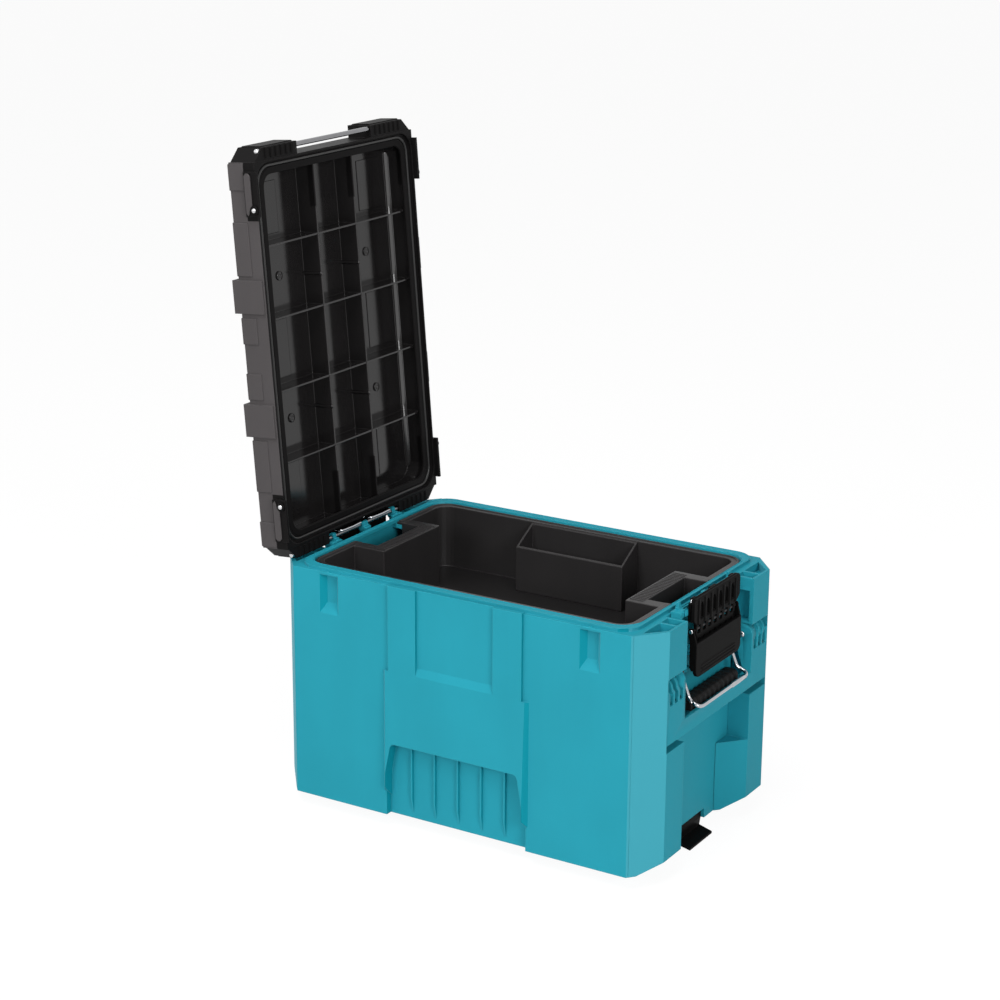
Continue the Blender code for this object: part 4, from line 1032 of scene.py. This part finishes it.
def clawLouvres(spec):
    half, top, shoulder, r = spec["half"], spec["top"], spec["shoulder"], spec["ribHalf"]
    noseLow, noseHigh = spec["noseX"]
    slotTop = spec["slotTop"]
    shapes = []
    ribs = [(i - (spec["ribs"] - 1) / 2) * spec["ribPitch"] for i in range(spec["ribs"])]
    for y in ribs:
        rib = [(noseLow, y - r), (noseHigh - spec["ribCut"], y - r), (noseHigh, y - 0.5 * r)]
        rib = rib + [(x, 2 * y - v) for x, v in rib[::-1]]
        shapes.append(prism(rib, "z", shoulder - spec["stripFoot"], top - spec["ribTop"]))
    bars = [(slotTop, top - 1.0, half - spec["headCut"])]
    bars.append((shoulder - spec["slotBar"], spec["slotFoot"], half - spec["stripWide"]))
    for low, high, wide in bars:
        shapes.append(block((noseLow, noseHigh - 1.0), (-wide, wide), (low, high)))
    gap = spec["ribPitch"] / 2 - r + 0.4
    for left in ribs[:-1]:
        middle = left + spec["ribPitch"] / 2
        for t in sides:
            arch = [(middle + t * gap, slotTop + 0.5), (middle + t * spec["archTip"], slotTop + 0.5)]
            arch.append((middle + t * gap, slotTop - spec["archDrop"]))
            shapes.append(prism(arch, "x", noseLow, noseHigh - 1.2))
    return shapes


def clawWindows(spec):
    neck, waist, foot, shoulder = spec["neck"], spec["waist"], spec["foot"], spec["shoulder"]
    midLow, midHigh = spec["midX"]
    shapes = []
    for t in sides:
        cheek = span(t, (neck - spec["neckWide"], neck))
        shapes.append(block((midLow, midHigh), cheek, (foot + 8, shoulder + 1)))
    levels = [z for high, low, wide in spec["rows"] for z in (high, low)]
    levels = [shoulder - 2] + levels + [foot - 1]
    for high, low in zip(levels[::2], levels[1::2]):
        wide = waist if low < foot else neck - 1
        shapes.append(block((midLow, midHigh), (-wide, wide), (low, high)))
    count = spec["windows"]
    centres = [(i - (count - 1) / 2) * spec["windowPitch"] for i in range(count)]
    for high, low, wide in spec["rows"]:
        edges = [1 - neck] + [e for c in centres for e in (c - wide, c + wide)] + [neck - 1]
        for y0, y1 in zip(edges[::2], edges[1::2]):
            shapes.append(block((midLow, midHigh - 0.4), (y0, y1), (low - 0.5, high + 0.5)))
    return shapes


def makeClaw(spec, s):
    shapes = clawHead(spec) + clawLouvres(spec) + clawWindows(spec)
    x, z = spec["pivot"]
    reach = spec["waist"] - 0.4
    shapes.append(lathe(barrel(spec["pivotRound"], -reach, reach, 0.6), (x, 0.0, z), "y"))
    x, z = spec["hookAxis"]
    for low, high in spec["barrels"]:
        shapes.append(lathe(barrel(spec["barrelRound"], low, high, 0.6), (x, 0.0, z), "y", 20))
    end = endNames[s]
    body = "claw_" + end
    shapes = flipped(shapes, s)
    addPiece("louvredClaw_" + end, shapes, "latchBlack", body, None, 0.45, (body,))


# lever: a plate with rounded lower corners, grip lines and two arms round the lever's pin
lever = {
    "x": (288.0, 293.0),
    "half": 66.0,
    "top": 310.0,
    "foot": 262.0,
    "round": 10.0,
    "axis": (284.0, 325.0),
    "eye": 4.6,
    "armHalf": (63.2, 66.2),
    "armBack": 282.6,
    "armCut": 3.0,
    "lineHalf": 50.0,
    "lines": (265.8, 270.4, 275.0),
    "lineTall": 2.0,
    "lineProud": 0.9,
}


def makeLever(spec, s):
    half, foot, top, r = spec["half"], spec["foot"], spec["top"], spec["round"]
    side = [(half, top)]
    for i in range(6):
        t = math.radians(18 * i)
        side.append((half - r + r * math.cos(t), foot + r - r * math.sin(t)))
    low, high = spec["x"]
    shapes = [prism(side + [(-y, z) for y, z in side[::-1]], "x", low, high)]
    ax, az = spec["axis"]
    eye, back, front = spec["eye"], spec["armBack"], high - 0.5
    turns = [math.radians(15 * i) for i in range(13)]
    arm = [(front, top - 2.0), (ax + eye, az - 2.0)]
    arm += [(ax + eye * math.cos(t), az + eye * math.sin(t)) for t in turns]
    arm += [(ax - eye, az - 3.0), (back, top), (back, foot + r + 4)]
    arm += [(back + spec["armCut"], foot + r - 1), (front, foot + r - 1)]
    for t in sides:
        shapes.append(prism(arm, "y", *span(t, spec["armHalf"])))
    for z in spec["lines"]:
        y = spec["lineHalf"]
        shapes.append(block((high - 1.0, high + spec["lineProud"]), (-y, y), (z, z + spec["lineTall"])))
    end = endNames[s]
    body = "lever_" + end
    shapes = flipped(shapes, s)
    addPiece("pullLever_" + end, shapes, "latchBlack", body, None, 0.6, (body,))


# wire hooks: hanging at the right end, and over the lid's rod at the left end
hooks = {
    "axis": (280.8, 366.5),
    "reach": 13.0,
    "bow": 1.2,
    "out": 62.4,
    "inner": 11.0,
    "lean": 2.0,
    "start": 53.0,
    "tail": 7.0,
    "wire": 1.75,
    "bend": 4.6,
}


def makeHooks(spec, s):
    x, z = spec["axis"]
    hangs = s > 0
    reach, bow = ((x, z - r) if hangs else (x - r, z) for r in (spec["reach"], spec["reach"] + spec["bow"]))
    path = [
        (s * x, spec["start"], z),
        (s * x, spec["out"], z),
        (s * reach[0], spec["out"] - spec["lean"], reach[1]),
        (s * bow[0], (spec["out"] + spec["inner"]) / 2, bow[1]),
        (s * reach[0], spec["inner"] + spec["lean"], reach[1]),
        (s * x, spec["inner"], z),
        (s * x, spec["inner"] - spec["tail"], z),
    ]
    shapes = []
    for t in sides:
        turned = [(px, t * py, pz) for px, py, pz in path]
        shapes.append(wire(bentPath(turned, spec["bend"]), spec["wire"]))
    end = endNames[s]
    stands = ("hook_wire_" + end,)
    addPiece("wireHooks_" + end, shapes, "chromedWire", "hook_" + end, None, 0.0, stands)


# wire bail with a sleeve on its bar
bail = {
    "axis": (272.5, 270.0),
    "end": 50.5,
    "legY": 70.5,
    "knee": (287.0, 234.0),
    "bar": (303.5, 76.0, 226.5),
    "wire": 2.55,
    "bend": 11.0,
    "sleeve": (20.0, 62.0),
    "sleeveRound": (2.0, 2.6, 3.3),
}


def makeBail(spec, s):
    x, z = spec["axis"]
    kneeX, kneeZ = spec["knee"]
    barX, barY, barZ = spec["bar"]
    half = [(x, spec["end"], z), (x, spec["legY"], z), (kneeX, spec["legY"], kneeZ), (barX, barY, barZ)]
    half = [(s * px, py, pz) for px, py, pz in half]
    path = half + [(px, -py, pz) for px, py, pz in half[::-1]]
    shapes = [wire(bentPath(path, spec["bend"]), spec["wire"])]
    shapes.append(lathe(barrel(spec["sleeveRound"], *spec["sleeve"], 1.0), (s * barX, 0.0, barZ), "y"))
    body = "bail_" + endNames[s]
    addPiece("wireBail_" + endNames[s], shapes, "chromedWire", body, None, 0.0, (body,))


# domed heads of the pins: the handle's face inwards, the claw's and the lever's outwards
pinHeads = {
    "handle": {"at": (280.0, 96.4, 271.0), "dome": (4.2, 1.8, 1.4), "faces": -1},
    "claw": {"at": (281.6, 60.2, 297.0), "dome": (3.2, 1.4, 1.2), "faces": 1},
    "lever": {"at": (284.0, 66.2, 325.0), "dome": (2.9, 1.3, 0.8), "faces": 1},
}


def pinHead(spec, s, t):
    x, y, z = spec["at"]
    return lathe(dome(*spec["dome"], t * spec["faces"]), (s * x, t * y, z), "y", 20)


def makePinHeads(spec, s):
    end = endNames[s]
    fixed = [pinHead(spec[pin], s, t) for t in sides for pin in ("handle", "claw")]
    addPiece("pinHeads_" + end, fixed, "platedSteel", "case")
    moving = [pinHead(spec["lever"], s, t) for t in sides]
    addPiece("leverPinHeads_" + end, moving, "platedSteel", "claw_" + end)


# hoods round the lid's rod: closed at the hinge end, open prongs at the latch end
hoods = {
    "rod": (275.0, 360.0),
    "wall": 264.2,
    "foot": 349.0,
    "wallTop": 357.0,
    "sideY": (70.6, 77.4),
    "sideNose": [(-6.0, -13.5), (2.6, -10.0), (4.3, -5.0), (4.3, 2.6)],
    "sideCrown": [(2.6, 5.6), (-1.6, 6.6), (-4.2, 5.0), (-5.0, -1.0)],
    "middleHalf": 6.5,
    "middleNose": [(-6.0, -13.5), (1.0, -9.0), (2.0, -5.0), (2.0, 1.6)],
    "middleCrown": [(0.4, 4.0), (-3.0, 4.6), (-5.4, 3.0), (-6.0, -1.5)],
    "prongs": [(-9.0, -4.4, 6.0), (4.2, 6.6, -2.5)],
    "fillY": (77.0, 87.2),
    "fillNose": [(1.0, -17.0), (4.0, -11.0), (4.0, -5.5), (2.0, -4.0)],
    "fillDrop": 6.0,
    "fillTop": 356.0,
    "innerY": (64.8, 70.8),
    "innerX": 269.5,
}


def makeHoods(spec, s):
    x, z = spec["rod"]
    wall, foot, top = spec["wall"], spec["foot"], spec["fillTop"]

    def hood(nose, crown):
        return [(wall, foot)] + [(x + a, z + b) for a, b in nose + crown] + [(wall, spec["wallTop"])]

    shapes = []
    for t in sides:
        y0, y1 = span(t, spec["sideY"])
        if s < 0:
            shapes.append(prism(hood(spec["sideNose"], spec["sideCrown"]), "y", y0, y1))
        else:
            for low, high, rise in spec["prongs"]:
                back, front, tip = x + low, x + high, z + rise
                prong = [(back, foot), (front, foot), (front, tip - 2), (front - 1, tip), (back, tip - 1)]
                shapes.append(prism(prong, "y", y0, y1))
        fill = [(x + a, z + b) for a, b in spec["fillNose"]]
        fill = [(wall, foot - spec["fillDrop"])] + fill + [(wall, top)]
        shapes.append(prism(fill, "y", *span(t, spec["fillY"])))
        shapes.append(block((wall, spec["innerX"]), span(t, spec["innerY"]), (foot, top)))
    if s < 0:
        middle = hood(spec["middleNose"], spec["middleCrown"])
        shapes.append(prism(middle, "y", -spec["middleHalf"], spec["middleHalf"]))
    addPiece("rodHoods_" + endNames[s], flipped(shapes, s), "tealShell", "case", None, 0.6)


# swing handles with their vents opened wide, cut out of the plain handle's own form
vents = {
    "near": (105.0, 119.0, 132.0),
    "wide": 9.0,
    "shift": 5.5,
    "z": (249.0, 267.0, 284.0),
    "x": (285.6, 299.0),
    "backX": (285.0, 286.5),
    "backGap": (0.5, 0.4),
    "weld": 0.002,
}


def makeVentedHandle(spec, s):
    name = "handle_" + endNames[s]
    low, bend, high = spec["z"]
    wide = spec["wide"]
    cuts = []
    for near in spec["near"]:
        far = near + spec["shift"]
        bolt = [(near, low), (near + wide, low), (near + wide, bend - 2), (far + wide, bend + 4)]
        bolt += [(far + wide, high), (far, high), (far, bend + 2), (near, bend - 4)]
        for t in sides:
            cuts += flipped([prism([(t * y, z) for y, z in bolt], "x", *spec["x"])], s)
    cutter = bpy.data.objects.new("ventCutter", meshOf("ventCutter", cuts))
    bpy.context.scene.collection.objects.link(cutter)
    work = bmesh.new()
    work.from_mesh(nodes[name].data)
    bmesh.ops.remove_doubles(work, verts=work.verts, dist=spec["weld"] * mm)
    plain = bpy.data.meshes.new("plainHandle")
    work.to_mesh(plain)
    work.free()
    blank = bpy.data.objects.new("handleBlank", plain)
    bpy.context.scene.collection.objects.link(blank)
    opened = blank.modifiers.new("vents", "BOOLEAN")
    opened.operation = "DIFFERENCE"
    opened.solver = "EXACT"
    opened.object = cutter
    ready = blank.evaluated_get(bpy.context.evaluated_depsgraph_get())
    mesh = bpy.data.meshes.new_from_object(ready)
    for spare in (blank, cutter):
        bpy.data.objects.remove(spare)
    dressed("ventedHandle_" + endNames[s], mesh, "tealShell", name, 0.0, (name,))
    # painted shade: dark teal plates behind the vents stand in for the shade inside the handle's hollow
    backs = []
    gapY, gapZ = spec["backGap"]
    for near in spec["near"]:
        for t in sides:
            y = span(t, (near - gapY, near + spec["shift"] + wide + gapY))
            backs += flipped([block(spec["backX"], y, (low + gapZ, high - gapZ))], s)
    addPiece("ventShadeBacks_" + endNames[s], backs, "paintedShadeTeal", name)


for s in sides:
    makeVentedHandle(vents, s)
    makeClaw(claw, s)
    makeLever(lever, s)
    makeHooks(hooks, s)
    makeBail(bail, s)
    makePinHeads(pinHeads, s)
    makeHoods(hoods, s)
print("handles, latches, bails and pins made")
